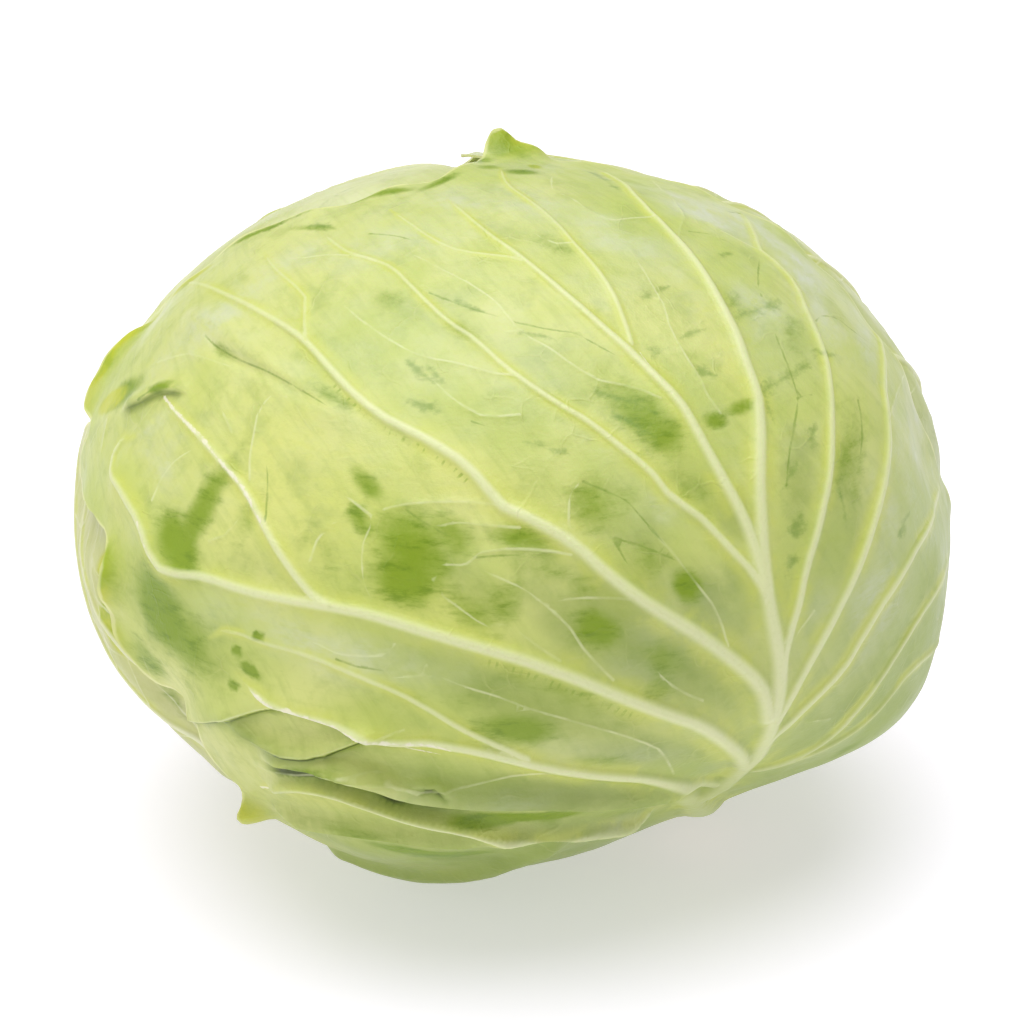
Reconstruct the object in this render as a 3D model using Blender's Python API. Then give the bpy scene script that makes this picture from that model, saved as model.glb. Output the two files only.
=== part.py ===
"""A flat-round cabbage head, tilted on its base: four loose wrapper leaves, the heart and the cut stalk.

Units are metres, +Z is up, and the origin is the middle of the flat spot that the head rests on.
A place on the head is a way: a unit vector from the head's centre. polar() gives one by its angle
from the stalk and its turn round it, and seen() by the pixel where a camera in front of the head sees it.
Each leaf is a thin blade stretched over the head inside its edge, with ribs, folds and curled margins on it.
"""

import math

import bpy
import numpy as np
from mathutils import Vector
from mathutils.geometry import delaunay_2d_cdt

MM = 0.001
DEG = math.pi / 180


def unit(vectors):
    vectors = np.asarray(vectors, float)
    return vectors / np.linalg.norm(vectors, axis=-1, keepdims=True)


# The head's size and how it lies: half its width, depth and height, and the way that its stalk points.
HEAD_HALF = np.array([110.0, 103.0, 87.0]) * MM
MIDDLE = np.array([0.0, 0.0, 85.4]) * MM
STALK_WAY = unit([0.56, -0.16, -0.81])
MEAN_RADIUS = 98 * MM
DIMPLE_DEPTH = 9 * MM
DIMPLE_REACH = 24 * DEG

# The camera that seen() reads pixels for: how high it looks down from, how far off, and its picture's scale.
CAMERA_RAISED = 25 * DEG
CAMERA_AWAY = 1.0
CAMERA_AIM = np.array([0.0, 0.0, 83.9]) * MM
CAMERA_MIDDLE_PX = (512.0, 517.0)
CAMERA_SCALE_PX = 4023.0

# How thick the blades are, how far a leaf lies under each leaf over it, and how much lower the heart lies.
BLADE = 1.2 * MM
BLADE_RIM = 0.8 * MM
LAYER = 2.4 * MM
HEART_GAP = 2.0 * MM

STALK_RADIUS = 14 * MM
STALK_OUT = 2.5 * MM
STALK_SIDES = 24

# Spacing of the points along the ribs and the edges, and over the blade and its lining.
RIB_STEP = 6.5 * MM
FOLD_STEP = 5 * MM
EDGE_STEP = 5 * MM
FILL_STEP = 11 * MM
LINING_STEP = 13 * MM

BACK_TO_CAMERA = np.array([0, -math.cos(CAMERA_RAISED), math.sin(CAMERA_RAISED)])
CAMERA_UP = np.array([0, math.sin(CAMERA_RAISED), math.cos(CAMERA_RAISED)])
CAMERA_RIGHT = np.array([1.0, 0.0, 0.0])
CAMERA_EYE = CAMERA_AIM + BACK_TO_CAMERA * CAMERA_AWAY
TURN_ZERO = unit(BACK_TO_CAMERA - (BACK_TO_CAMERA @ STALK_WAY) * STALK_WAY)
TURN_RIGHT = np.cross(TURN_ZERO, STALK_WAY)


def ramp(low, high, value):
    share = np.clip((value - low) / (high - low), 0, 1)
    return share * share * (3 - 2 * share)


def polar(*places):
    """Ways at angles from the stalk and turns round it, in degrees. A turn of 0 faces the camera."""
    tilt, turn = (np.array(places, float) * DEG).T[:, :, None]
    return np.cos(tilt) * STALK_WAY + np.sin(tilt) * (np.cos(turn) * TURN_ZERO + np.sin(turn) * TURN_RIGHT)


def ellipsoid(ways):
    return 1 / np.sqrt(((ways / HEAD_HALF) ** 2).sum(-1))


def seen(*pixels, surface=ellipsoid):
    """Ways to the places that the camera sees at pixels. Just off the head, the nearest place counts."""
    x, y = np.array(pixels, float).T[:, :, None]
    ray = unit(-BACK_TO_CAMERA * CAMERA_SCALE_PX + CAMERA_RIGHT * (x - CAMERA_MIDDLE_PX[0])
               - CAMERA_UP * (y - CAMERA_MIDDLE_PX[1]))
    to_middle = MIDDLE - CAMERA_EYE
    along = ray @ to_middle
    miss_squared = to_middle @ to_middle - along ** 2
    radius = np.full(len(ray), MEAN_RADIUS)
    for _ in range(12):
        depth = np.sqrt(np.maximum(radius ** 2 - miss_squared, 0))
        ways = unit(CAMERA_EYE + ray * (along - depth)[:, None] - MIDDLE)
        radius = (radius + surface(ways)) / 2
    return ways


# Where the head is fuller or flatter than an ellipsoid: a way, a height and a reach.
SWELLS = (
    (polar((40, -12)), -9 * MM, 24 * DEG),
    (seen((735, 815)), -3 * MM, 9 * DEG),
    (polar((86, -92)), -14 * MM, 16 * DEG),
    (polar((52, -45)), -2 * MM, 12 * DEG),
    (seen((68, 517)), -2.5 * MM, 14 * DEG),
    (seen((140, 300)), -3 * MM, 10 * DEG),
    (seen((170, 715)), -4.5 * MM, 7 * DEG),
    (seen((620, 165)), -2 * MM, 16 * DEG),
    (polar((66, 72)), -5.5 * MM, 12 * DEG),
    (seen((900, 720)), 5.5 * MM, 12 * DEG),
    (seen((880, 310)), -3 * MM, 12 * DEG),
    (polar((75, 170)), -3 * MM, 25 * DEG),
    (polar((110, -150)), 2 * MM, 22 * DEG),
)


def head_radius(ways):
    radius = ellipsoid(ways)
    for middle, height, reach in SWELLS:
        angle = np.arccos(np.clip(ways @ middle[0], -1, 1))
        radius = radius + height * np.exp(-(angle / reach) ** 2)
    from_stalk = np.arccos(np.clip(ways @ STALK_WAY, -1, 1))
    return radius - DIMPLE_DEPTH * np.exp(-(from_stalk / DIMPLE_REACH) ** 2)


def place(*pixels):
    """Ways to the places on the head, swells and dimple included, that the camera sees at pixels."""
    return seen(*pixels, surface=head_radius)


def curve(ways, step, closed=False):
    """Ways at even steps along a smooth curve through the given ones."""
    ways = np.asarray(ways)
    if closed:
        ends = np.vstack([ways[-1:], ways, ways[:2]])
    else:
        ends = np.vstack([2 * ways[0] - ways[1], ways, 2 * ways[-1] - ways[-2]])
    share = np.linspace(0, 1, 12, endpoint=False)[:, None]
    pieces = [
        0.5 * (2 * b + (c - a) * share + (2 * a - 5 * b + 4 * c - d) * share ** 2
               + (3 * b - a - 3 * c + d) * share ** 3)
        for a, b, c, d in zip(ends, ends[1:], ends[2:], ends[3:])
    ]
    fine = unit(np.vstack(pieces + [ways[:1] if closed else ways[-1:]]))
    run = np.concatenate([[0], np.cumsum(np.linalg.norm(np.diff(fine, axis=0), axis=1))]) * MEAN_RADIUS
    places = np.linspace(0, run[-1], max(3, round(run[-1] / step) + 1))
    even = unit(np.stack([np.interp(places, run, fine[:, axis]) for axis in range(3)], 1))
    return even[:-1] if closed else even


def nearest(ways, line, closed=False):
    """How far each way is from a line of ways, how far along it that is, and on which side of it."""
    starts, stops = (line, np.roll(line, -1, 0)) if closed else (line[:-1], line[1:])
    lengths = np.linalg.norm(stops - starts, axis=1)
    offsets = np.concatenate([[0], np.cumsum(lengths)[:-1]])
    best, run, side = np.full(len(ways), 9.0), np.zeros(len(ways)), np.ones(len(ways))
    for start, stop, length, offset in zip(starts, stops, lengths, offsets):
        share = np.clip((ways - start) @ (stop - start) / length ** 2, 0, 1)
        away = np.linalg.norm(ways - start - share[:, None] * (stop - start), axis=1)
        closer = away < best
        best[closer], run[closer] = away[closer], (offset + share * length)[closer]
        side[closer] = np.sign(ways[closer] @ np.cross(start, stop))
    return best * MEAN_RADIUS, run * MEAN_RADIUS, side


class Chart:
    """A flat map of the head round one way, by stereographic projection."""

    def __init__(self, middle):
        self.middle = middle
        self.across = unit(np.cross(middle, [0.3, 0.9, 0.2]))
        self.up = np.cross(middle, self.across)

    def flat(self, ways):
        return np.stack([ways @ self.across, ways @ self.up], -1) / (1 + ways @ self.middle)[:, None]

    def ways(self, flat):
        squared = (flat ** 2).sum(-1, keepdims=True)
        level = flat[:, :1] * self.across + flat[:, 1:] * self.up
        return (2 * level + (1 - squared) * self.middle) / (1 + squared)


def inside(flat, loop):
    """Which flat points are inside a closed loop."""
    x, y = flat.T
    found = np.zeros(len(flat), bool)
    for (ax, ay), (bx, by) in zip(loop, np.roll(loop, -1, 0)):
        crosses = (ay > y) != (by > y)
        found ^= crosses & (x < ax + (y - ay) * (bx - ax) / (by - ay if by != ay else 1))
    return found


def beside(line, away):
    """Ways at a distance to both sides of a line."""
    ahead = unit(np.gradient(line, axis=0))
    sideways = np.cross(line, ahead) * (away / MEAN_RADIUS)[:, None]
    return unit(np.vstack([line + sideways, line - sideways]))


class Rib:
    """A raised rib. Its half width and height go evenly from the first value to the second."""

    def __init__(self, ways, half_width, height):
        self.line = curve(ways, RIB_STEP)
        share = np.linspace(0, 1, len(self.line))
        self.half_width = (half_width[0] + (half_width[1] - half_width[0]) * share) * MM
        self.height = (height[0] + (height[1] - height[0]) * share) * MM
        self.length = np.linalg.norm(np.diff(self.line, axis=0), axis=1).sum() * MEAN_RADIUS

    def rise(self, ways):
        away, run, _ = nearest(ways, self.line)
        share = run / self.length * (len(self.line) - 1)
        index = np.arange(len(self.line))
        half_width, height = (np.interp(share, index, values) for values in (self.half_width, self.height))
        return height * np.clip(1 - (away / half_width) ** 2, 0, 1) ** 1.5

    def beside(self, part):
        return beside(self.line, self.half_width * part)


class Fold:
    """A crest that fades out at both its ends. On a way to the left, its first reach is its upper side's."""

    def __init__(self, ways, height, reach):
        self.line = curve(ways, FOLD_STEP)
        self.height, self.reach = height * MM, np.array(reach) * MM
        self.length = np.linalg.norm(np.diff(self.line, axis=0), axis=1).sum() * MEAN_RADIUS

    def rise(self, ways):
        away, run, side = nearest(ways, self.line)
        ends = ramp(0, 12 * MM, run) * ramp(0, 9 * MM, self.length - run)
        reach = np.where(side < 0, self.reach[0], self.reach[1])
        return self.height * ends * np.exp(-(away / reach) ** 2)

    def beside(self, part):
        ahead = unit(np.gradient(self.line, axis=0))
        sideways = np.cross(self.line, ahead) / MEAN_RADIUS * part
        upper, lower = self.line - sideways * self.reach[0], self.line + sideways * self.reach[1]
        return unit(np.vstack([upper, lower]))


class Flare:
    """A stretch of a leaf's edge that curls away from the head."""

    def __init__(self, way, height, half_length, reach):
        self.way = way[0]
        self.height, self.half_length, self.reach = height * MM, half_length * MM, reach * MM

    def rise(self, ways, from_edge):
        along = np.linalg.norm(ways - self.way, axis=1) * MEAN_RADIUS
        return self.height * np.exp(-(along / self.half_length) ** 4) * np.exp(-(from_edge / self.reach) ** 1.5)


class Leaf:
    """A leaf's plan: its edge, ribs, folds and flares, and which leaves lie over it."""

    def __init__(self, middle, edge, ribs, folds=(), flares=(), over=(), wave=(0.5, 24)):
        self.chart = Chart(middle[0])
        self.edge = curve(edge, EDGE_STEP, closed=True)
        self.edge_flat = self.chart.flat(self.edge)
        self.ribs, self.folds, self.flares, self.over = ribs, folds, flares, over
        self.wave_height, self.wave_length = wave[0] * MM, wave[1] * MM

    def from_edge(self, ways):
        """How far each way is inside the leaf's edge, below 0 outside it, and how far round the edge."""
        away, run, _ = nearest(ways, self.edge, closed=True)
        ahead = ways @ self.chart.middle > -0.9
        within = np.zeros(len(ways), bool)
        within[ahead] = inside(self.chart.flat(ways[ahead]), self.edge_flat)
        return np.where(within, away, -away), run

    def free(self, ways):
        """1 where no other leaf lies over this one, and 0 where one does."""
        share = np.ones(len(ways))
        for leaf in self.over:
            share *= 1 - ramp(-5 * MM, 0, leaf.from_edge(ways)[0])
        return share

    def depth(self, ways):
        return depth_under(self.over, ways)

    def blade(self, ways):
        """Points on the blade's outside, without its ribs."""
        from_edge, run = self.from_edge(ways)
        from_edge = np.maximum(from_edge, 0)
        free = self.free(ways)
        from_stalk = np.arccos(np.clip(ways @ STALK_WAY, -1, 1))
        wave = 1 + np.sin(run / self.wave_length * 2 * math.pi + 1.3 * np.sin(run / (31 * MM)))
        rise = self.wave_height * wave * np.exp(-from_edge / (5 * MM)) * ramp(25 * DEG, 45 * DEG, from_stalk)
        for fold in self.folds:
            rise = rise + fold.rise(ways)
        for flare in self.flares:
            rise = rise + flare.rise(ways, from_edge)
        return on_head(ways, head_radius(ways) + rise * free, self.depth(ways))

    def outside(self, ways):
        rib = np.zeros(len(ways))
        for each in self.ribs:
            rib = np.maximum(rib, each.rise(ways))
        fade = ramp(0, 7 * MM, self.from_edge(ways)[0]) * self.free(ways)
        blade = self.blade(ways)
        depth = self.depth(ways)
        radius = np.linalg.norm(blade - MIDDLE, axis=1)
        return on_head(ways, radius + depth + rib * fade, depth)

    def lining(self, ways):
        """Points on the blade's inside, a blade's thickness under its outside."""
        small = 0.4 * MM / MEAN_RADIUS
        across = unit(np.cross(ways, self.chart.up + 0.01))
        up = np.cross(ways, across)
        here = self.blade(ways)
        outward = unit(np.cross(self.blade(unit(ways + across * small)) - here,
                                self.blade(unit(ways + up * small)) - here))
        outward *= np.sign((outward * ways).sum(1))[:, None]
        thickness = BLADE_RIM + (BLADE - BLADE_RIM) * ramp(0, 8 * MM, self.from_edge(ways)[0])
        return here - outward * thickness[:, None]


def depth_under(leaves, ways):
    """How deep a piece lies under the leaves over it. It comes back out a little way past their edges."""
    depth = np.zeros(len(ways))
    for leaf in leaves:
        depth += LAYER * ramp(-14 * MM, -2 * MM, leaf.from_edge(ways)[0])
    return depth


def on_head(ways, radius, depth):
    """Points at a depth along ways, kept as far above the table, so that the head has a flat spot."""
    points = MIDDLE + ways * (radius - depth)[:, None]
    points[:, 2] = np.maximum(points[:, 2], depth)
    return points


class Points:
    """Ways that are kept apart by a least gap. A way that is too close to an earlier one becomes that one."""

    def __init__(self):
        self.ways = np.zeros((0, 3))

    def add(self, ways, gap):
        numbers = []
        for way in ways:
            away = np.linalg.norm(self.ways - way, axis=1) * MEAN_RADIUS
            if len(away) and away.min() < gap:
                numbers.append(int(away.argmin()))
            else:
                numbers.append(len(self.ways))
                self.ways = np.vstack([self.ways, way])
        return numbers


def even_ways(step):
    """Ways spread evenly over the whole head."""
    count = round(4 * math.pi * (MEAN_RADIUS / step) ** 2 * 1.15)
    index = np.arange(count) + 0.5
    height = 1 - 2 * index / count
    turn = index * math.pi * (3 - math.sqrt(5))
    level = np.sqrt(1 - height ** 2)
    return np.stack([level * np.cos(turn), level * np.sin(turn), height], 1)


def skin(leaf, lines, loose, step):
    """Triangles over a leaf, with corners on its edge, on its lines, at its loose ways and between them."""
    points = Points()
    loop = points.add(leaf.edge, 0)
    chains = []
    for line in lines:
        kept = line[leaf.from_edge(line)[0] > 2.5 * MM]
        chain = points.add(kept, 1.6 * MM)
        chains += [(a, b) for a, b in zip(chain, chain[1:]) if a != b]
    for ways, margin, gap in loose + [(even_ways(step), 0.45 * step, 0.62 * step)]:
        points.add(ways[leaf.from_edge(ways)[0] > margin], gap)
    flat = [Vector(pair) for pair in leaf.chart.flat(points.ways)]
    corners, _, triangles, _, _, _ = delaunay_2d_cdt(flat, sorted(set(chains)), [loop], 1, 1e-7)
    ways = leaf.chart.ways(np.array([tuple(corner) for corner in corners]))
    return ways, [tuple(triangle) for triangle in triangles]


def rim(triangles):
    """The edges that only one triangle has, as a map from each corner to the next one round the rim."""
    sides = {(a, b) for tri in triangles for a, b in zip(tri, tri[1:] + tri[:1])}
    return {a: b for a, b in sides if (b, a) not in sides}


def leaf_mesh(name, leaf):
    """A closed blade: an outside with its ribs, a plainer lining, and a rim that joins them."""
    crests = [fold.line for fold in leaf.folds]
    near_flares = [(near_edge(leaf, inward), 0.8 * MM, 1.4 * MM) for inward in (2 * MM, 4.5 * MM)]
    slopes = [(fold.beside(1.2), 2 * MM, 1.6 * MM) for fold in leaf.folds]
    feet = [(rib.beside(part), 2 * MM, 1.3 * MM) for rib in leaf.ribs for part in rib_parts(rib)]
    ribs = [rib.line for rib in leaf.ribs]
    outer_ways, outer = skin(leaf, crests + ribs, near_flares + slopes + feet, FILL_STEP)
    inner_ways, inner = skin(leaf, crests, near_flares + slopes, LINING_STEP)
    corners = np.vstack([leaf.outside(outer_ways), leaf.lining(inner_ways)])
    shift = len(outer_ways)
    faces = facing_out(corners, outer) + [tri[::-1] for tri in facing_out(corners[shift:], inner)]
    faces = faces[:len(outer)] + [tuple(shift + k for k in tri) for tri in faces[len(outer):]]
    next_outer = rim(faces[:len(outer)])
    inner_rim = sorted(rim(faces[len(outer):]))
    inner_rim_ways = inner_ways[np.array(inner_rim) - shift]
    twin = {}
    for a in next_outer:
        twin[a] = inner_rim[int(np.linalg.norm(inner_rim_ways - outer_ways[a], axis=1).argmin())]
    for a, b in next_outer.items():
        faces += [(b, a, twin[a]), (b, twin[a], twin[b])]
    return mesh_object(name, corners, faces)


def rib_parts(rib):
    return (1.0, 0.5) if rib.half_width.max() > 3.4 * MM else (1.0,)


def near_edge(leaf, inward):
    """Ways a little inside the edge, where the leaf curls away from the head."""
    if not leaf.flares:
        return np.zeros((0, 3))
    ahead = unit(np.roll(leaf.edge, -1, 0) - np.roll(leaf.edge, 1, 0))
    sideways = np.cross(leaf.edge, ahead) * inward / MEAN_RADIUS
    ways = unit(np.vstack([leaf.edge + sideways, leaf.edge - sideways]))
    close = np.zeros(len(ways), bool)
    for flare in leaf.flares:
        close |= np.linalg.norm(ways - flare.way, axis=1) * MEAN_RADIUS < 1.3 * flare.half_length
    return ways[close]


def facing_out(corners, triangles):
    """The triangles, each turned so that it faces away from the head's middle."""
    tri = np.array(triangles)
    a, b, c = corners[tri[:, 0]], corners[tri[:, 1]], corners[tri[:, 2]]
    facing = (np.cross(b - a, c - a) * (a + b + c - 3 * MIDDLE)).sum(1).sum() > 0
    return [tuple(int(k) for k in (t if facing else t[::-1])) for t in tri]


def mesh_object(name, corners, faces):
    mesh = bpy.data.meshes.new(name)
    mesh.from_pydata([tuple(corner) for corner in corners], [], faces)
    mesh.update()
    thing = bpy.data.objects.new(name, mesh)
    bpy.context.scene.collection.objects.link(thing)
    return thing


def front_ribs():
    """The front leaf's midrib, the ribs that leave it to both sides, and the ribs of its folds."""
    stem = polar((11.5, -4), (23, -6), (37, -5))
    midrib = np.vstack([stem, place((690, 797), (715, 787), (745, 764), (765, 735), (775, 700), (778, 665),
                                    (772, 630), (765, 590), (761, 540), (758, 483), (759, 421), (756, 392),
                                    (745, 363), (733, 329), (718, 299), (701, 270), (682, 245), (661, 222),
                                    (637, 199), (599, 170))])
    first_left = place((712, 781), (648, 778), (594, 773), (541, 765), (482, 751), (434, 743), (388, 737),
                       (347, 721), (297, 707), (264, 693), (237, 673))
    first_branch = place((527, 757), (501, 746), (460, 727), (415, 700), (380, 684), (320, 659), (285, 648),
                         (260, 641), (232, 630), (219, 631), (209, 638))
    second_left = place((741, 764), (735, 750), (703, 726), (672, 714), (621, 695), (568, 674), (514, 655),
                        (447, 636), (376, 615), (337, 607), (275, 596), (246, 589), (207, 576), (174, 570),
                        (158, 553), (147, 521), (129, 491), (117, 470), (115, 450), (122, 441), (135, 436))
    second_branch = place((332, 606), (311, 593), (285, 558), (259, 514), (243, 486), (218, 457), (195, 431),
                          (165, 397))
    third_left = place((764, 716), (760, 690), (749, 674), (724, 653), (695, 632), (667, 615), (640, 598),
                       (605, 571), (571, 541), (525, 515), (504, 506), (491, 492), (465, 463), (429, 440),
                       (406, 428), (385, 417), (360, 398), (340, 378), (307, 342), (284, 325), (248, 305),
                       (225, 294), (207, 286), (188, 284))
    third_branch = place((307, 342), (304, 317), (305, 296), (275, 268), (264, 252))
    fourth_left = place((766, 604), (754, 575), (739, 558), (720, 537), (695, 512), (671, 497), (649, 470),
                        (615, 442), (587, 420), (553, 400), (507, 368), (474, 338), (447, 320), (415, 290),
                        (394, 269), (376, 260), (346, 251), (321, 232))
    fifth_left = place((764, 590), (757, 563), (749, 535), (735, 503), (722, 480), (700, 440), (680, 405),
                       (653, 375), (628, 350), (594, 320), (559, 290), (525, 260), (495, 239), (470, 219),
                       (447, 200))
    fifth_branch = place((631, 343), (624, 322), (612, 294), (596, 269), (575, 244), (559, 226), (532, 203),
                         (507, 184), (500, 168))
    fifth_twig = place((526, 261), (520, 258), (465, 251), (435, 240), (406, 221), (390, 210))
    first_right = place((781, 668), (783, 659), (787, 638), (796, 606), (806, 564), (819, 522), (827, 486),
                        (831, 428), (829, 384), (823, 350), (808, 314), (796, 287), (779, 266), (760, 251),
                        (754, 234), (741, 213))
    second_right = place((776, 718), (783, 707), (804, 669), (829, 623), (853, 573), (871, 528), (882, 489),
                         (887, 421), (884, 392), (882, 358), (878, 342), (861, 308), (840, 270), (815, 241),
                         (798, 228))
    third_right = place((765, 741), (775, 733), (808, 703), (842, 669), (867, 627), (893, 585), (924, 533),
                        (943, 486))
    fourth_right = place((757, 768), (787, 760), (825, 739), (850, 714), (882, 674), (914, 625), (935, 592),
                         (952, 554))
    fifth_right = place((753, 769), (804, 756), (836, 741), (861, 724), (888, 697), (914, 667), (943, 633))
    low_rib = np.vstack([polar((40, -15)), place((640, 819), (609, 828), (568, 834), (514, 837), (460, 829),
                                                 (411, 820), (365, 804), (331, 793), (297, 791), (264, 797))])
    first_pleat = place((410, 738), (400, 739), (365, 742), (338, 751), (310, 754), (285, 753), (251, 742),
                        (219, 719))
    return [
        Rib(midrib, (8.0, 1.5), (3.9, 0.8)),
        Rib(first_left, (4.0, 1.8), (2.2, 0.7)),
        Rib(second_left, (4.2, 1.7), (2.4, 0.7)),
        Rib(third_left, (4.2, 1.6), (2.4, 0.7)),
        Rib(fourth_left, (2.8, 1.4), (1.2, 0.5)),
        Rib(fifth_left, (3.8, 1.5), (2.0, 0.6)),
        Rib(first_right, (3.4, 1.5), (1.7, 0.6)),
        Rib(second_right, (3.4, 1.5), (1.7, 0.6)),
        Rib(third_right, (3.0, 1.5), (1.3, 0.5)),
        Rib(fourth_right, (2.6, 1.4), (1.1, 0.5)),
        Rib(fifth_right, (2.4, 1.4), (1.0, 0.5)),
        Rib(first_branch, (2.0, 1.4), (0.9, 0.5)),
        Rib(first_pleat, (2.6, 1.8), (1.8, 1.0)),
        Rib(second_branch, (3.0, 1.4), (1.5, 0.5)),
        Rib(third_branch, (1.8, 1.2), (0.8, 0.4)),
        Rib(fifth_branch, (2.2, 1.4), (1.0, 0.6)),
        Rib(fifth_twig, (1.6, 1.2), (0.6, 0.4)),
        Rib(low_rib, (3.0, 1.6), (1.6, 0.8)),
    ]


def front_folds():
    """The pleats at the front leaf's lower left, from the upper one down, and the swells of its blade."""
    return [
        Fold(place((400, 739), (365, 742), (338, 751), (310, 754), (285, 753), (251, 742), (219, 719)),
             2.6, (4.2, 2.4)),
        Fold(place((420, 756), (384, 767), (343, 765), (297, 762), (260, 760)), 2.4, (2.6, 2.4)),
        Fold(place((640, 819), (609, 828), (568, 834), (514, 837), (460, 829), (411, 820), (365, 804),
                   (331, 793), (297, 791), (262, 797)), 4.4, (3.2, 2.8)),
        Fold(place((700, 788), (648, 802), (608, 808), (541, 809), (487, 808), (428, 808), (380, 792)),
             3.6, (3.6, 2.2)),
        Fold(place((608, 834), (541, 842), (487, 847), (434, 846), (377, 836), (331, 831), (297, 824),
                   (268, 810)), 3.6, (2.8, 2.4)),
        Fold(polar((48, -28), (47, -44), (49, -60), (58, -73), (68, -79)), 3.2, (4.5, 4.5)),
        Fold(place((207, 576), (174, 570), (158, 553), (147, 521), (129, 491), (115, 450)), 2.0, (5.0, 5.0)),
    ]


def front_flares():
    """Where the front leaf's edge curls out: the tabs on top, at the lower left and right, and the lobes."""
    return [
        Flare(polar((147.5, 97)), 6.5, 10.5, 7.0),
        Flare(seen((262, 812)), 6.5, 7.0, 6.0),
        Flare(seen((108, 575)), 3.2, 7.0, 5.0),
        Flare(seen((112, 640)), 3.2, 7.0, 5.0),
        Flare(seen((90, 400)), 2.6, 7.0, 5.0),
        Flare(seen((118, 345)), 2.8, 7.0, 5.0),
        Flare(polar((107, 85)), 4.5, 6.0, 5.0),
        Flare(polar((101, 83)), 2.2, 4.5, 4.0),
    ]


def front_edge():
    """The front leaf's edge: from the stalk along its lower left, up its left, over the top and down."""
    underneath = polar((11.5, -16), (12, -42), (20, -66), (31, -80), (43, -88), (55, -90), (65, -87),
                       (71, -83.5))
    left = seen((276, 829), (246, 792), (199, 757), (178, 708), (150, 690), (130, 657), (113, 610),
                (112, 548), (84, 505), (72, 470), (88, 432), (88, 402), (105, 372), (122, 342), (146, 308))
    top = polar((162, -88), (168, -78), (174, -24), (169, 22), (163, 52), (157, 62), (153, 78), (150.5, 92),
                (147, 101), (142, 99), (137, 96), (128, 97), (119, 93))
    right = polar((112, 88), (106, 84.5), (99, 82), (91, 79.5), (83, 78), (76, 77), (69, 77), (62, 80),
                  (54, 87), (46, 93), (37, 95), (28, 88), (19, 62), (12, 30), (11.5, 8))
    return np.vstack([underneath, left, top, right])


def hidden_edge(turn, spread, top):
    """The edge of a leaf that shows mostly from behind, with a shallow dent on top and wavy sides."""
    sides = np.array([(11.5, 22), (12, 44), (16, 62), (26, 74), (40, 80), (54, 81), (68, 84), (84, 81),
                      (97, 80), (111, 71), (122, 66), (133, 52), (141, 36), (145, 16)], float)
    tilts = 11.5 + (sides[:, 0] - 11.5) * (top - 11.5) / 143
    right = np.stack([tilts, turn + sides[:, 1] * spread], 1)
    left = np.stack([tilts, turn - sides[:, 1] * spread * 0.95], 1)
    return polar(*right, (top - 1.5, turn), *left[::-1], (11.5, turn))


def hidden_ribs(turn, spread, top):
    """A midrib and six ribs to each side of it, which rise towards the leaf's edge."""
    midrib = polar((11.5, turn), (30, turn + 2), (55, turn), (80, turn + 3), (105, turn + 1),
                   (top - 8, turn - 2))
    ribs = [Rib(midrib, (8.5, 1.6), (3.6, 0.7))]
    for side in (-1, 1):
        for rank in range(6):
            start = 30 + 13 * rank + 4 * (side > 0)
            climb = min(26 + 9 * rank, top - 10 - start)
            reach = (78 - 7.5 * rank) * spread * side
            path = []
            for share in np.linspace(0, 1, 6):
                bend = 2.5 * math.sin(5 * share + rank) * share
                path.append((start + climb * share, turn + 1 + reach * share ** 1.15 + bend))
            ribs.append(Rib(polar(*path), (3.4 - 0.2 * rank, 1.5), (1.9 - 0.15 * rank, 0.5)))
    return ribs


# Leaf plans, from the outermost in: a turn round the stalk, a spread and how far up the head the leaf ends.
UNDER_PLAN = (-62, 1.0, 150)
SIDE_PLAN = (112, 1.0, 152)
BACK_PLAN = (-172, 1.05, 158)


def leaf_plans():
    front = Leaf(polar((98, 2)), front_edge(), front_ribs(), front_folds(), front_flares())
    under = Leaf(polar((80, UNDER_PLAN[0])), hidden_edge(*UNDER_PLAN), hidden_ribs(*UNDER_PLAN),
                 over=[front], wave=(0.6, 27))
    side = Leaf(polar((80, SIDE_PLAN[0])), hidden_edge(*SIDE_PLAN), hidden_ribs(*SIDE_PLAN),
                over=[front, under], wave=(0.8, 23))
    back = Leaf(polar((80, BACK_PLAN[0])), hidden_edge(*BACK_PLAN), hidden_ribs(*BACK_PLAN),
                over=[front, under, side], wave=(0.8, 29))
    return {"front_leaf": front, "under_leaf": under, "side_leaf": side, "back_leaf": back}


# How far from the head's middle the stalk leaves the heart.
STALK_ROOT = head_radius(STALK_WAY[None])[0] - 4 * LAYER - HEART_GAP

# The heart's closed leaves, whose edges cross the top of the head: a middle, a reach round it and a height.
HEART_LAPS = (
    (polar((120, 150)), 78 * DEG, 0.8 * MM),
    (polar((128, -120)), 66 * DEG, 0.8 * MM),
    (polar((120, 30)), 58 * DEG, 0.8 * MM),
)


def heart(leaves):
    """The tight head inside the wrappers, with the edges of its own leaves in low relief."""
    bpy.ops.mesh.primitive_ico_sphere_add(subdivisions=4, radius=1)
    thing = bpy.context.object
    thing.name = thing.data.name = "heart"
    ways = unit([vertex.co for vertex in thing.data.vertices])
    relief = np.zeros(len(ways))
    for middle, reach, height in HEART_LAPS:
        angle = np.arccos(np.clip(ways @ middle[0], -1, 1))
        swell = 1 + ramp(60 * DEG, 0, angle)
        relief = np.maximum(relief, height * ramp(reach, reach - 4 * DEG, angle) * swell)
    points = on_head(ways, head_radius(ways), depth_under(leaves, ways) + HEART_GAP - relief)
    along = (points - MIDDLE) @ STALK_WAY
    off_axis = np.linalg.norm(points - MIDDLE - along[:, None] * STALK_WAY, axis=1)
    under_stalk = (along > 0) & (off_axis < 2 * STALK_RADIUS)
    too_high = np.where(under_stalk, np.maximum(along - STALK_ROOT + 0.5 * MM, 0), 0)
    points -= too_high[:, None] * STALK_WAY
    thing.data.vertices.foreach_set("co", points.ravel())
    return thing


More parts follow.
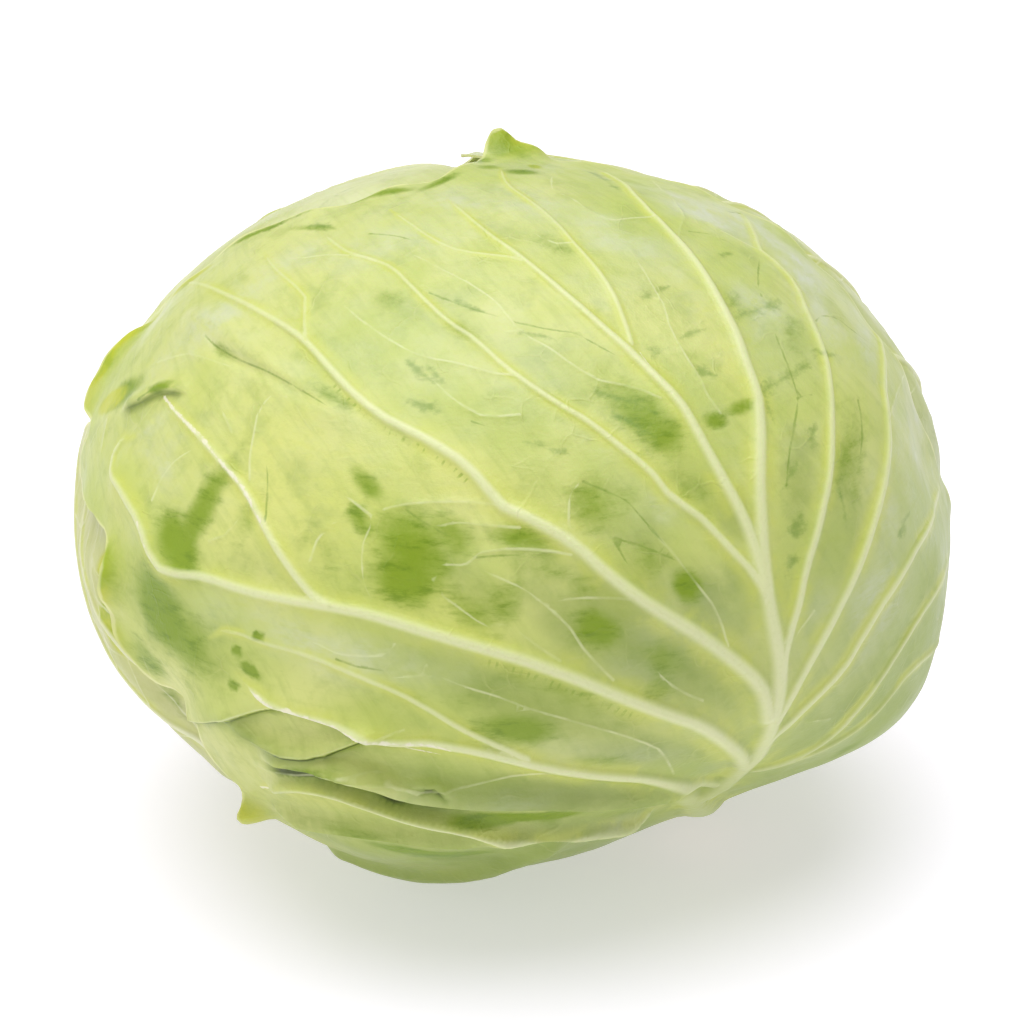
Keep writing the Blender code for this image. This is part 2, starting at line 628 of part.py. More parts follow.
def stalk():
    """The cut stump in the dimple, a little wider where the leaves leave it."""
    root, tip = STALK_ROOT, head_radius(STALK_WAY[None])[0] + STALK_OUT
    rings = ((root, 0.92), (root + 4 * MM, 0.98), (tip - 4 * MM, 1.0), (tip - 1.2 * MM, 0.98), (tip, 0.9))
    across, up = TURN_ZERO, TURN_RIGHT
    corners = []
    for out, share in rings:
        for turn in np.arange(STALK_SIDES) * 2 * math.pi / STALK_SIDES:
            radius = STALK_RADIUS * share * (1 + 0.03 * math.sin(3 * turn) + 0.02 * math.sin(5 * turn + 1))
            corners.append(MIDDLE + STALK_WAY * out + radius * (math.cos(turn) * across + math.sin(turn) * up))
    faces = []
    for ring in range(len(rings) - 1):
        for k in range(STALK_SIDES):
            a, b = ring * STALK_SIDES + k, ring * STALK_SIDES + (k + 1) % STALK_SIDES
            faces += [(b, a, a + STALK_SIDES), (b, a + STALK_SIDES, b + STALK_SIDES)]
    last = (len(rings) - 1) * STALK_SIDES
    corners += [MIDDLE + STALK_WAY * root, MIDDLE + STALK_WAY * (tip + 0.6 * MM)]
    for k in range(STALK_SIDES):
        nxt = (k + 1) % STALK_SIDES
        faces += [(k, nxt, len(corners) - 2), (last + nxt, last + k, len(corners) - 1)]
    return mesh_object("stalk", corners, faces)


def leaf_green(name, colour, roughness):
    material = bpy.data.materials.new(name)
    material.use_nodes = True
    shader = material.node_tree.nodes["Principled BSDF"]
    shader.inputs["Base Color"].default_value = (*colour, 1)
    shader.inputs["Roughness"].default_value = roughness
    shader.inputs["Metallic"].default_value = 0
    shader.inputs["IOR"].default_value = 1.45
    return material


COLOURS = {
    "front_leaf": ((0.46, 0.53, 0.15), 0.42),
    "under_leaf": ((0.52, 0.57, 0.22), 0.42),
    "side_leaf": ((0.50, 0.56, 0.24), 0.42),
    "back_leaf": ((0.56, 0.60, 0.30), 0.42),
    "heart": ((0.66, 0.68, 0.42), 0.40),
    "stalk": ((0.72, 0.69, 0.47), 0.60),
}


def main():
    for thing in list(bpy.data.objects):
        bpy.data.objects.remove(thing)
    plans = leaf_plans()
    things = [leaf_mesh(name, leaf) for name, leaf in plans.items()] + [heart(plans.values()), stalk()]
    for thing in things:
        thing.data.materials.append(leaf_green(thing.name + "_skin", *COLOURS[thing.name]))


main()
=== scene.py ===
import math

import bpy
import numpy as np
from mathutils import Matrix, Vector, kdtree, noise
from mathutils.geometry import delaunay_2d_cdt


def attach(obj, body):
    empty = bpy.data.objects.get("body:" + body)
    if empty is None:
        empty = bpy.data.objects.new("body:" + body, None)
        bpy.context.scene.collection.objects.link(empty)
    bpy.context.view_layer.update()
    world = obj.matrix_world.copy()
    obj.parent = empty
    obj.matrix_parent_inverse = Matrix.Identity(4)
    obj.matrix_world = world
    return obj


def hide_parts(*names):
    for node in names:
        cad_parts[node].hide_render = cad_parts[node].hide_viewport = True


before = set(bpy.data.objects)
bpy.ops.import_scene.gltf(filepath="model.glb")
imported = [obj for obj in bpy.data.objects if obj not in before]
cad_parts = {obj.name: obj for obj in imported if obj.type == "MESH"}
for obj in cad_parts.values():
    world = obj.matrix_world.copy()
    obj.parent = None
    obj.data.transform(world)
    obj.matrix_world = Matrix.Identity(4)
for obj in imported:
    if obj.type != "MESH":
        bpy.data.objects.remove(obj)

MM = 0.001
DEG = math.pi / 180

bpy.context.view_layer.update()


def unit(vectors):
    vectors = np.asarray(vectors, float)
    return vectors / np.linalg.norm(vectors, axis=-1, keepdims=True)


# ---------------------------------------------------------------- the head, as in the part's own source

HEAD_HALF = np.array([110.0, 103.0, 87.0]) * MM
MIDDLE = np.array([0.0, 0.0, 85.4]) * MM
STALK_WAY = unit([0.56, -0.16, -0.81])
MEAN_RADIUS = 98 * MM
DIMPLE_DEPTH = 9 * MM
DIMPLE_REACH = 24 * DEG

CAMERA_RAISED = 25 * DEG
CAMERA_AWAY = 1.0
CAMERA_AIM = np.array([0.0, 0.0, 83.9]) * MM
CAMERA_MIDDLE_PX = (512.0, 517.0)
CAMERA_SCALE_PX = 4023.0

BLADE = 1.1 * MM
BLADE_RIM = 0.6 * MM
LAYER = 2.4 * MM
HEART_GAP = 2.0 * MM
STALK_RADIUS = 14 * MM
STALK_OUT = 2.5 * MM

# Spacing of points: along lines, round the edge, over the blade, where another leaf hides it, and over its lining.
LINE_STEP = 1.5 * MM
EDGE_STEP = 1.5 * MM
PLAN_STEP = 5 * MM
FILL_STEP = 1.45 * MM
COVERED_STEP = 7 * MM
LINING_STEP = 4.5 * MM
POINT_GAP = 0.42 * MM

BACK_TO_CAMERA = np.array([0, -math.cos(CAMERA_RAISED), math.sin(CAMERA_RAISED)])
CAMERA_UP = np.array([0, math.sin(CAMERA_RAISED), math.cos(CAMERA_RAISED)])
CAMERA_RIGHT = np.array([1.0, 0.0, 0.0])
CAMERA_EYE = CAMERA_AIM + BACK_TO_CAMERA * CAMERA_AWAY
TURN_ZERO = unit(BACK_TO_CAMERA - (BACK_TO_CAMERA @ STALK_WAY) * STALK_WAY)
TURN_RIGHT = np.cross(TURN_ZERO, STALK_WAY)


def ramp(low, high, value):
    share = np.clip((value - low) / (high - low), 0, 1)
    return share * share * (3 - 2 * share)


def polar(*places):
    """Ways at angles from the stalk and turns round it, in degrees. A turn of 0 faces the camera, and + is right."""
    tilt, turn = (np.array(places, float) * DEG).T[:, :, None]
    return np.cos(tilt) * STALK_WAY + np.sin(tilt) * (np.cos(turn) * TURN_ZERO + np.sin(turn) * TURN_RIGHT)


def ellipsoid(ways):
    return 1 / np.sqrt(((ways / HEAD_HALF) ** 2).sum(-1))


def seen(*pixels, surface=ellipsoid):
    """Ways to the places on the head that the camera sees at pixels. Just off the head, the nearest place counts."""
    x, y = np.array(pixels, float).T[:, :, None]
    ray = unit(-BACK_TO_CAMERA * CAMERA_SCALE_PX + CAMERA_RIGHT * (x - CAMERA_MIDDLE_PX[0])
               - CAMERA_UP * (y - CAMERA_MIDDLE_PX[1]))
    to_middle = MIDDLE - CAMERA_EYE
    along = ray @ to_middle
    miss_squared = to_middle @ to_middle - along ** 2
    radius = np.full(len(ray), MEAN_RADIUS)
    for _ in range(12):
        depth = np.sqrt(np.maximum(radius ** 2 - miss_squared, 0))
        ways = unit(CAMERA_EYE + ray * (along - depth)[:, None] - MIDDLE)
        radius = (radius + surface(ways)) / 2
    return ways


SWELLS = (
    (polar((40, -12)), -9 * MM, 24 * DEG),
    (seen((735, 815)), -3 * MM, 9 * DEG),
    (polar((86, -92)), -14 * MM, 16 * DEG),
    (polar((52, -45)), -2 * MM, 12 * DEG),
    (seen((68, 517)), -2.5 * MM, 14 * DEG),
    (seen((140, 300)), -3 * MM, 10 * DEG),
    (seen((170, 715)), -4.5 * MM, 7 * DEG),
    (seen((620, 165)), -2 * MM, 16 * DEG),
    (polar((66, 72)), -5.5 * MM, 12 * DEG),
    (seen((900, 720)), 5.5 * MM, 12 * DEG),
    (seen((880, 310)), -3 * MM, 12 * DEG),
    (polar((75, 170)), -3 * MM, 25 * DEG),
    (polar((110, -150)), 2 * MM, 22 * DEG),
)


def head_radius(ways):
    radius = ellipsoid(ways)
    for middle, height, reach in SWELLS:
        angle = np.arccos(np.clip(ways @ middle[0], -1, 1))
        radius = radius + height * np.exp(-(angle / reach) ** 2)
    from_stalk = np.arccos(np.clip(ways @ STALK_WAY, -1, 1))
    return radius - DIMPLE_DEPTH * np.exp(-(from_stalk / DIMPLE_REACH) ** 2)


def place(*pixels):
    """Ways to the places on the head's real outside at pixels."""
    return seen(*pixels, surface=head_radius)


def curve(ways, step, closed=False):
    """Ways at even steps along a smooth curve through the given ones."""
    ways = np.asarray(ways)
    if closed:
        ends = np.vstack([ways[-1:], ways, ways[:2]])
    else:
        ends = np.vstack([2 * ways[0] - ways[1], ways, 2 * ways[-1] - ways[-2]])
    share = np.linspace(0, 1, 12, endpoint=False)[:, None]
    pieces = [
        0.5 * (2 * b + (c - a) * share + (2 * a - 5 * b + 4 * c - d) * share ** 2
               + (3 * b - a - 3 * c + d) * share ** 3)
        for a, b, c, d in zip(ends, ends[1:], ends[2:], ends[3:])
    ]
    fine = unit(np.vstack(pieces + [ways[:1] if closed else ways[-1:]]))
    run = np.concatenate([[0], np.cumsum(np.linalg.norm(np.diff(fine, axis=0), axis=1))]) * MEAN_RADIUS
    places = np.linspace(0, run[-1], max(3, round(run[-1] / step) + 1))
    even = unit(np.stack([np.interp(places, run, fine[:, axis]) for axis in range(3)], 1))
    return even[:-1] if closed else even


def nearest(ways, line, closed=False):
    """How far each way is from a line of ways, how far along it its nearest place is, and on which side it lies."""
    starts, stops = (line, np.roll(line, -1, 0)) if closed else (line[:-1], line[1:])
    lengths = np.linalg.norm(stops - starts, axis=1)
    offsets = np.concatenate([[0], np.cumsum(lengths)[:-1]])
    best, run, side = np.full(len(ways), 9.0), np.zeros(len(ways)), np.ones(len(ways))
    for start, stop, length, offset in zip(starts, stops, lengths, offsets):
        share = np.clip((ways - start) @ (stop - start) / length ** 2, 0, 1)
        away = np.linalg.norm(ways - start - share[:, None] * (stop - start), axis=1)
        closer = away < best
        best[closer], run[closer] = away[closer], (offset + share * length)[closer]
        side[closer] = np.sign(ways[closer] @ np.cross(start, stop))
    return best * MEAN_RADIUS, run * MEAN_RADIUS, side


class Chart:
    """A flat map of the head round one way, by stereographic projection."""

    def __init__(self, middle):
        self.middle = middle
        self.across = unit(np.cross(middle, [0.3, 0.9, 0.2]))
        self.up = np.cross(middle, self.across)

    def flat(self, ways):
        return np.stack([ways @ self.across, ways @ self.up], -1) / (1 + ways @ self.middle)[:, None]

    def ways(self, flat):
        squared = (flat ** 2).sum(-1, keepdims=True)
        return (2 * (flat[:, :1] * self.across + flat[:, 1:] * self.up) + (1 - squared) * self.middle) / (1 + squared)


def inside(flat, loop):
    """Which flat points are inside a closed loop."""
    x, y = flat.T
    found = np.zeros(len(flat), bool)
    for (ax, ay), (bx, by) in zip(loop, np.roll(loop, -1, 0)):
        crosses = (ay > y) != (by > y)
        found ^= crosses & (x < ax + (y - ay) * (bx - ax) / (by - ay if by != ay else 1))
    return found


def beside(line, away):
    """Ways at a distance to both sides of a line."""
    ahead = unit(np.gradient(line, axis=0))
    sideways = np.cross(line, ahead) * (away / MEAN_RADIUS)[:, None]
    return unit(np.vstack([line + sideways, line - sideways]))


def on_head(ways, radius, depth):
    """Points at a depth along ways, kept as far above the table, so that the head has a flat spot to rest on."""
    points = MIDDLE + ways * (radius - depth)[:, None]
    points[:, 2] = np.maximum(points[:, 2], depth)
    return points


def ripple(ways, length, seed):
    """Smooth random waves over the head, from -1 to 1, about a length apart."""
    scale = MEAN_RADIUS / length
    shift = Vector((seed * 7.3, seed * 3.1, seed * 5.7))
    return np.array([noise.noise(Vector(way) * scale + shift) for way in ways])


# ---------------------------------------------------------------- lines on a leaf

class Line:
    """A line on a leaf whose half width and height go from the first value to the second, in mm, fastest at first."""

    rows = (1.0,)
    fade = 7 * MM

    def __init__(self, ways, half_width, height, taper=1.0, ticks=None):
        self.plan = curve(ways, PLAN_STEP)
        self.line = curve(ways, LINE_STEP)
        self.half_width, self.height = np.array(half_width) * MM, np.array(height) * MM
        self.taper, self.ticks = taper, ticks
        self.length = np.linalg.norm(np.diff(self.plan, axis=0), axis=1).sum() * MEAN_RADIUS
        self.middle = unit(self.plan.mean(0))
        self.reach = np.linalg.norm(self.plan - self.middle, axis=1).max() + 5 * self.half_width.max() / MEAN_RADIUS

    def at(self, run, values):
        return values[0] + (values[1] - values[0]) * np.clip(run / self.length, 0, 1) ** self.taper

    def near(self, ways):
        """Which ways are near the line, and for those the distance, the run, the side and the half width there."""
        close = np.linalg.norm(ways - self.middle, axis=1) < self.reach
        away, run, side = nearest(ways[close], self.plan)
        return close, away, run, side, self.at(run, self.half_width)

    def beside(self, part):
        return beside(self.line, self.at(np.linspace(0, self.length, len(self.line)), self.half_width) * part)

    def rise(self, ways):
        out = np.zeros(len(ways))
        close, away, run, _, half_width = self.near(ways)
        crest = np.clip(1 - (away / half_width) ** 2, 0, 1) ** 1.4
        skirt = np.exp(-(away / (2.1 * half_width)) ** 2)
        tall = self.at(run, self.height) * ramp(0, self.fade, self.length - run)
        out[close] = tall * ((1 - self.skirt) * crest + self.skirt * skirt)
        return out

    def share(self, ways):
        """1 on the line, 0 at its flank and down to -2 beside it, with the run, half width and ticks there."""
        out, runs = np.full(len(ways), -2.0), np.zeros(len(ways))
        wide, ticks = np.ones(len(ways)), np.zeros(len(ways))
        close, away, run, side, half_width = self.near(ways)
        tip = 1.2 * (1 - ramp(0, self.fade, self.length - run))
        out[close], runs[close], wide[close] = np.clip(1 - away / half_width - tip, -2, 1), run / MM, half_width / MM
        if self.ticks:
            start, stop = np.array(self.ticks) * MM
            ticks[close] = (side > 0) * ramp(start, start + 8 * MM, run) * ramp(stop, stop - 8 * MM, run)
        return out, runs, wide, ticks


class Rib(Line):
    """A raised rib, with a low skirt that lifts the blade to both sides of it."""

    rows = (0.5, 0.85, 1.2, 1.9)
    skirt = 0.16


class Vein(Line):
    rows = (0.95,)
    skirt = 0.3


class Groove(Line):
    """A thin sunken line, or with no height a streak in the blade."""

    rows = (0.95,)
    skirt = 0.1


class Fold:
    """A crest that fades out at both its ends. On a way to the left, its first reach is its upper side's."""

    def __init__(self, ways, height, reach, ends=(12, 9), shade=0, dark=1.1):
        self.plan = curve(ways, PLAN_STEP)
        self.line = curve(ways, LINE_STEP)
        self.height, self.ends, self.shade = height * MM, np.array(ends) * MM, shade
        self.reach, self.dark = np.array(reach) * MM, dark * MM
        self.length = np.linalg.norm(np.diff(self.plan, axis=0), axis=1).sum() * MEAN_RADIUS
        self.middle = unit(self.plan.mean(0))
        self.far = np.linalg.norm(self.plan - self.middle, axis=1).max() + 3 * self.reach.max() / MEAN_RADIUS

    def near(self, ways):
        close = np.linalg.norm(ways - self.middle, axis=1) < max(self.far, 0.1)
        away, run, side = nearest(ways[close], self.plan)
        return close, away, side, ramp(0, self.ends[0], run) * ramp(0, self.ends[1], self.length - run)

    def rise(self, ways):
        out = np.zeros(len(ways))
        close, away, side, ends = self.near(ways)
        out[close] = self.height * ends * np.exp(-(away / np.where(side < 0, self.reach[0], self.reach[1])) ** 2)
        return out

    def painted_shade(self, ways):
        """How far a way lies in the painted shade under the crest, on its lower side, 0 to 1."""
        out = np.zeros(len(ways))
        close, away, side, ends = self.near(ways)
        low = 0.5 * ramp(self.dark + 4.4 * MM, self.dark, away) + 0.8 * ramp(self.dark + MM, self.dark, away)
        low *= ramp(0.2 * MM, 1.0 * MM, away) * (side > 0)
        out[close] = self.shade * ends * low
        return out

    def beside(self, part):
        ahead = unit(np.gradient(self.line, axis=0))
        sideways = np.cross(self.line, ahead) / MEAN_RADIUS * part
        return unit(np.vstack([self.line - sideways * self.reach[0], self.line + sideways * self.reach[1]]))


class Flare:
    """A stretch of a leaf's edge that curls away from the head."""

    def __init__(self, way, height, half_length, reach):
        self.way = way[0]
        self.height, self.half_length, self.reach = height * MM, half_length * MM, reach * MM

    def rise(self, ways, from_edge):
        along = np.linalg.norm(ways - self.way, axis=1) * MEAN_RADIUS
        return self.height * np.exp(-(along / self.half_length) ** 4) * np.exp(-(from_edge / self.reach) ** 1.5)


class Patch:
    """A patch of a blade: its middle pixel, half length and half width in mm, its lean from level and its strength."""

    def __init__(self, middle, half_length, half_width, lean, strength):
        along = middle + np.array([math.cos(lean * DEG), math.sin(lean * DEG)]) * 8
        here, there = place(middle, along)
        self.way = here
        self.along = unit(there - here)
        self.across = unit(np.cross(here, self.along))
        self.half = np.array([half_length, half_width]) * MM
        self.strength = strength

    def depth(self, ways):
        from_here = (ways - self.way) * MEAN_RADIUS
        x, y = from_here @ self.along / self.half[0], from_here @ self.across / self.half[1]
        return self.strength * np.where(ways @ self.way > 0, np.exp(-(x * x + y * y) ** 1.3), 0)


# ---------------------------------------------------------------- leaves

class Leaf:
    """A leaf's plan: its edge, the lines, folds and curls on it, and which leaves lie over it."""

    def __init__(self, middle, edge, ribs, lines=None, folds=(), flares=(), patches=None, over=(),
                 wave=(0.5, 24), turn=0, seed=1):
        self.chart = Chart(middle[0])
        self.edge = curve(edge, PLAN_STEP, closed=True)
        self.edge_flat = self.chart.flat(self.edge)
        self.fine_edge = ragged(curve(edge, EDGE_STEP, closed=True), seed)
        self.lines = {"rib": ribs, "vein_and_crest_highlight": [], "groove": [], "streak": [], "scar": []} | (lines or {})
        self.patches = {"green_and_shade": [], "wax_and_sheen": [], "sunny": [], "deep_green_and_shade": [], "lime": []} | (patches or {})
        self.folds, self.flares, self.over = folds, flares, over
        self.wave_height, self.wave_length = wave[0] * MM, wave[1] * MM
        self.turn, self.seed = turn, seed

    def from_edge(self, ways):
        """How far each way is inside the leaf's edge, less than nothing outside it, and how far round the edge."""
        away, run, _ = nearest(ways, self.edge, closed=True)
        ahead = ways @ self.chart.middle > -0.9
        within = np.zeros(len(ways), bool)
        within[ahead] = inside(self.chart.flat(ways[ahead]), self.edge_flat)
        return np.where(within, away, -away), run


class Place:
    """What a leaf's blade is like at some ways: its distance from the edges, what lies over it and its outside."""

    def __init__(self, leaf, ways):
        self.leaf, self.ways = leaf, ways
        self.from_edge, run = leaf.from_edge(ways)
        self.from_stalk = np.arccos(np.clip(ways @ STALK_WAY, -1, 1))
        self.free, self.depth, self.under = np.ones(len(ways)), np.zeros(len(ways)), np.full(len(ways), -0.1)
        for other in leaf.over:
            away = other.from_edge(ways)[0]
            self.free *= 1 - ramp(-5 * MM, 0, away)
            self.depth += LAYER * ramp(-14 * MM, -2 * MM, away)
            self.under = np.maximum(self.under, away)
        from_edge = np.maximum(self.from_edge, 0)
        wave = 1 + np.sin(run / leaf.wave_length * 2 * math.pi + 1.3 * np.sin(run / (31 * MM)))
        rise = leaf.wave_height * wave * np.exp(-from_edge / (5 * MM)) * ramp(25 * DEG, 45 * DEG, self.from_stalk)
        for fold in leaf.folds:
            rise = rise + fold.rise(ways)
        for flare in leaf.flares:
            rise = rise + flare.rise(ways, from_edge)
        rise = rise + 0.4 * MM * ripple(ways, 21 * MM, leaf.seed) + 0.2 * MM * ripple(ways, 8 * MM, leaf.seed + 1)
        self.radius = head_radius(ways) + rise * self.free
        self.points = on_head(ways, self.radius, self.depth)

    def lines(self, lines):
        """The highest share of any line at each way, with its run, its half width and its ticks."""
        best = [np.full(len(self.ways), value) for value in (-2.0, 0.0, 1.0, 0.0)]
        for line in lines:
            here = line.share(self.ways)
            more = here[0] > best[0]
            for values, new in zip(best, here):
                values[more] = new[more]
        return best

    def outside(self):
        """Points on the blade's outside with its ribs and veins raised and its creases sunk."""
        raised = np.zeros(len(self.ways))
        for line in self.leaf.lines["rib"] + self.leaf.lines["vein_and_crest_highlight"]:
            raised += line.rise(self.ways) ** 4
        sunk = np.zeros(len(self.ways))
        for line in self.leaf.lines["groove"] + self.leaf.lines["streak"]:
            sunk = np.maximum(sunk, line.rise(self.ways))
        fade = ramp(0, 7 * MM, self.from_edge) * self.free
        grain = 0.05 * MM * ripple(self.ways, 3 * MM, self.leaf.seed + 2)
        # The free blade's radius holds its depth, so the depth is added before it is taken off again.
        radius = np.linalg.norm(self.points - MIDDLE, axis=1)
        return on_head(self.ways, radius + self.depth + (raised ** 0.25 - sunk + grain) * fade, self.depth)


def ragged(edge, seed):
    """An edge with the small notches of a torn or frilled margin."""
    ahead = unit(np.roll(edge, -1, 0) - np.roll(edge, 1, 0))
    amount = 0.9 * MM * ripple(edge, 9 * MM, seed + 5) + 0.5 * MM * ripple(edge, 3.4 * MM, seed + 6)
    from_stalk = np.arccos(np.clip(edge @ STALK_WAY, -1, 1))
    amount = amount * ramp(20 * DEG, 40 * DEG, from_stalk)
    return unit(edge + np.cross(edge, ahead) * (amount / MEAN_RADIUS)[:, None])


class Points:
    """Ways that are kept apart by a least gap. A way that is too close to an earlier one becomes that one."""

    def __init__(self, gap):
        self.gap, self.ways, self.cells = gap / MEAN_RADIUS, [], {}

    def add(self, ways, close=True):
        numbers = []
        for way in ways:
            x, y, z = (int(part // self.gap) for part in way)
            found = None
            if close:
                near = [k for i in (x - 1, x, x + 1) for j in (y - 1, y, y + 1) for m in (z - 1, z, z + 1)
                        for k in self.cells.get((i, j, m), ())]
                found = min(near, key=lambda k: np.abs(self.ways[k] - way).sum(), default=None)
                if found is not None and np.linalg.norm(self.ways[found] - way) > self.gap:
                    found = None
            if found is None:
                found = len(self.ways)
                self.ways.append(way)
                self.cells.setdefault((x, y, z), []).append(found)
            numbers.append(found)
        return numbers


def even_ways(step):
    """Ways spread evenly over the whole head."""
    count = round(4 * math.pi * (MEAN_RADIUS / step) ** 2 * 1.15)
    index = np.arange(count) + 0.5
    height = 1 - 2 * index / count
    turn = index * math.pi * (3 - math.sqrt(5))
    level = np.sqrt(1 - height ** 2)
    return np.stack([level * np.cos(turn), level * np.sin(turn), height], 1)


def uncovered(leaf, ways, margin):
    """The ways that are inside a leaf's edge by a margin and aren't well under another leaf."""
    kept = ways[leaf.from_edge(ways)[0] > margin]
    for other in leaf.over:
        kept = kept[other.from_edge(kept)[0] < 9 * MM]
    return kept


def skin(leaf, crests, rows, steps):
    """Triangles over a leaf: along its edge and its lines, through loose rows and over the blade between them."""
    points = Points(POINT_GAP)
    loop = points.add(leaf.fine_edge, close=False)
    chains = []
    for line in crests:
        chain = points.add(uncovered(leaf, line, 1.2 * MM))
        flat_gap = 3 * LINE_STEP / MEAN_RADIUS
        chains += [(a, b) for a, b in zip(chain, chain[1:])
                   if a != b and np.linalg.norm(points.ways[a] - points.ways[b]) < flat_gap]
    for row in rows:
        points.add(uncovered(leaf, row, 0.8 * MM))
    tree = kdtree.KDTree(len(points.ways))
    for number, way in enumerate(points.ways):
        tree.insert(way, number)
    tree.balance()
    fine, coarse = steps
    for ways, step in ((uncovered(leaf, even_ways(fine), 0), fine), (covered(leaf, even_ways(coarse)), coarse)):
        points.ways += [way for way in ways if tree.find(way)[2] > 0.62 * step / MEAN_RADIUS]
    flat = [Vector(pair) for pair in leaf.chart.flat(np.array(points.ways))]
    corners, _, triangles, _, _, _ = delaunay_2d_cdt(flat, sorted(set(chains)), [loop], 1, 1e-7)
    ways = leaf.chart.ways(np.array([tuple(corner) for corner in corners]))
    return ways, np.array([tuple(triangle) for triangle in triangles])


def covered(leaf, ways):
    """The ways on a leaf that are well under another leaf."""
    if not leaf.over:
        return ways[:0]
    ways = ways[leaf.from_edge(ways)[0] > 3 * MM]
    under = np.max([other.from_edge(ways)[0] for other in leaf.over], axis=0)
    return ways[under >= 9 * MM]


def facing_out(corners, triangles):
    """The triangles, each turned so that it faces away from the head's middle."""
    a, b, c = (corners[triangles[:, k]] for k in range(3))
    facing = (np.cross(b - a, c - a) * (a + b + c - 3 * MIDDLE)).sum() > 0
    return triangles if facing else triangles[:, ::-1]


def rim(triangles):
    """The directed edges that only one triangle has, as a map from each corner to the next one round the rim."""
    sides = {(a, b) for tri in triangles.tolist() for a, b in zip(tri, tri[1:] + tri[:1])}
    return {a: b for a, b in sides if (b, a) not in sides}


def lining(leaf, ways):
    """Points on the blade's inside, a blade's thickness under its outside."""
    small = 0.4 * MM / MEAN_RADIUS
    across = unit(np.cross(ways, leaf.chart.up + 0.01))
    up = np.cross(ways, across)
    here = Place(leaf, ways)
    outward = unit(np.cross(Place(leaf, unit(ways + across * small)).points - here.points,
                            Place(leaf, unit(ways + up * small)).points - here.points))
    outward *= np.sign((outward * ways).sum(1))[:, None]
    thickness = BLADE_RIM + (BLADE - BLADE_RIM) * ramp(0, 8 * MM, here.from_edge)
    return here, here.points - outward * thickness[:, None]


def leaf_piece(name, leaf):
    """A closed blade: an outside with its relief, a plainer lining, and a rim that joins them."""
    lines = sum(leaf.lines.values(), [])
    crests = [fold.line for fold in leaf.folds]
    slopes = [fold.beside(part) for fold in leaf.folds for part in (0.5, 1.0, 1.6)]
    margins = list(near_edge(leaf))
    rows = [line.beside(part) for line in lines for part in line.rows]
    outer_ways, outer = skin(leaf, crests + [line.line for line in lines], slopes + margins + rows,
                             (FILL_STEP, COVERED_STEP))
    inner_ways, inner = skin(leaf, crests, slopes + margins, (LINING_STEP, COVERED_STEP))
    outer_place = Place(leaf, outer_ways)
    inner_place, inner_points = lining(leaf, inner_ways)
    shift = len(outer_ways)
    outer = facing_out(outer_place.points, outer)
    inner = facing_out(inner_place.points, inner)[:, ::-1] + shift
    next_outer, inner_rim = rim(outer), np.array(sorted(rim(inner)))
    tree = kdtree.KDTree(len(inner_rim))
    for number in inner_rim:
        tree.insert(inner_ways[number - shift], int(number))
    tree.balance()
    twin = {a: tree.find(outer_ways[a])[1] for a in next_outer}
    faces = outer.tolist() + inner.tolist()
    for a, b in next_outer.items():
        faces += [(b, a, twin[a]), (b, twin[a], twin[b])]
    piece = mesh_piece(name, np.vstack([outer_place.outside(), inner_points]), faces)
    mark(piece, leaf, [outer_place, inner_place])
    return piece


def near_edge(leaf):
    """Rows of ways a little inside the edge, where the margin curls and waves."""
    ahead = unit(np.roll(leaf.edge, -1, 0) - np.roll(leaf.edge, 1, 0))
    for inward in (1.2 * MM, 2.6 * MM, 4.4 * MM):
        sideways = np.cross(leaf.edge, ahead) * inward / MEAN_RADIUS
        yield unit(np.vstack([leaf.edge + sideways, leaf.edge - sideways]))


def mesh_piece(name, corners, faces):
    mesh = bpy.data.meshes.new(name)
    mesh.from_pydata(corners.tolist(), [], faces)
    mesh.update()
    piece = bpy.data.objects.new(name, mesh)
    bpy.context.scene.collection.objects.link(piece)
    return piece


def add_value(mesh, name, values):
    mesh.attributes.new(name, "FLOAT", "POINT").data.foreach_set("value", np.asarray(values, np.float32))


def mark(piece, leaf, places):
    """Gives each corner what its material reads: the lines near it, the patches, the painted shade under the folds and
    a map in mm.
    """
    mesh = piece.data
    outer, inner = places
    ways = np.vstack([outer.ways, inner.ways])
    hidden = np.zeros(len(inner.ways))
    for name, lines in leaf.lines.items():
        share, run, wide, ticks = outer.lines(lines)
        add_value(mesh, name, np.concatenate([share, hidden - 2]))
        if name == "rib":
            add_value(mesh, "rib_run", np.concatenate([run, hidden]))
            add_value(mesh, "rib_wide", np.concatenate([wide, hidden + 1]))
            add_value(mesh, "rib_ticks", np.concatenate([ticks, hidden]))
    for name, patches in leaf.patches.items():
        add_value(mesh, name, np.max([patch.depth(ways) for patch in patches] + [ways[:, 0] * 0], axis=0))
    painted_shade = np.max([fold.painted_shade(ways) for fold in leaf.folds] + [ways[:, 0] * 0], axis=0)
    under = np.concatenate([outer.under, inner.under])
    # Painted shade: a strip of this leaf beside the edge of a leaf that lies over it is darkened like the shade under a
    # fold.
    add_value(mesh, "painted_shade", np.maximum(painted_shade, 0.75 * ramp(-4 * MM, -0.3 * MM, under)))
    from_edge = np.concatenate([outer.from_edge, inner.from_edge])
    from_stalk = np.concatenate([outer.from_stalk, inner.from_stalk])
    add_value(mesh, "from_edge", from_edge / MM)
    add_value(mesh, "from_stalk", from_stalk / DEG)
    add_value(mesh, "lifted", lifted(leaf, ways, from_edge))
    around = ways @ polar((90, leaf.turn))[0], ways @ polar((90, leaf.turn + 90))[0]
    turn = np.arctan2(around[1], around[0])
    flat = np.stack([turn * np.sin(from_stalk), from_stalk], 1) * MEAN_RADIUS / MM
    corner = np.empty(len(mesh.loops), int)
    mesh.loops.foreach_get("vertex_index", corner)
    mesh.uv_layers.new(name="leaf_mm").uv.foreach_set("vector", flat[corner].astype(np.float32).ravel())


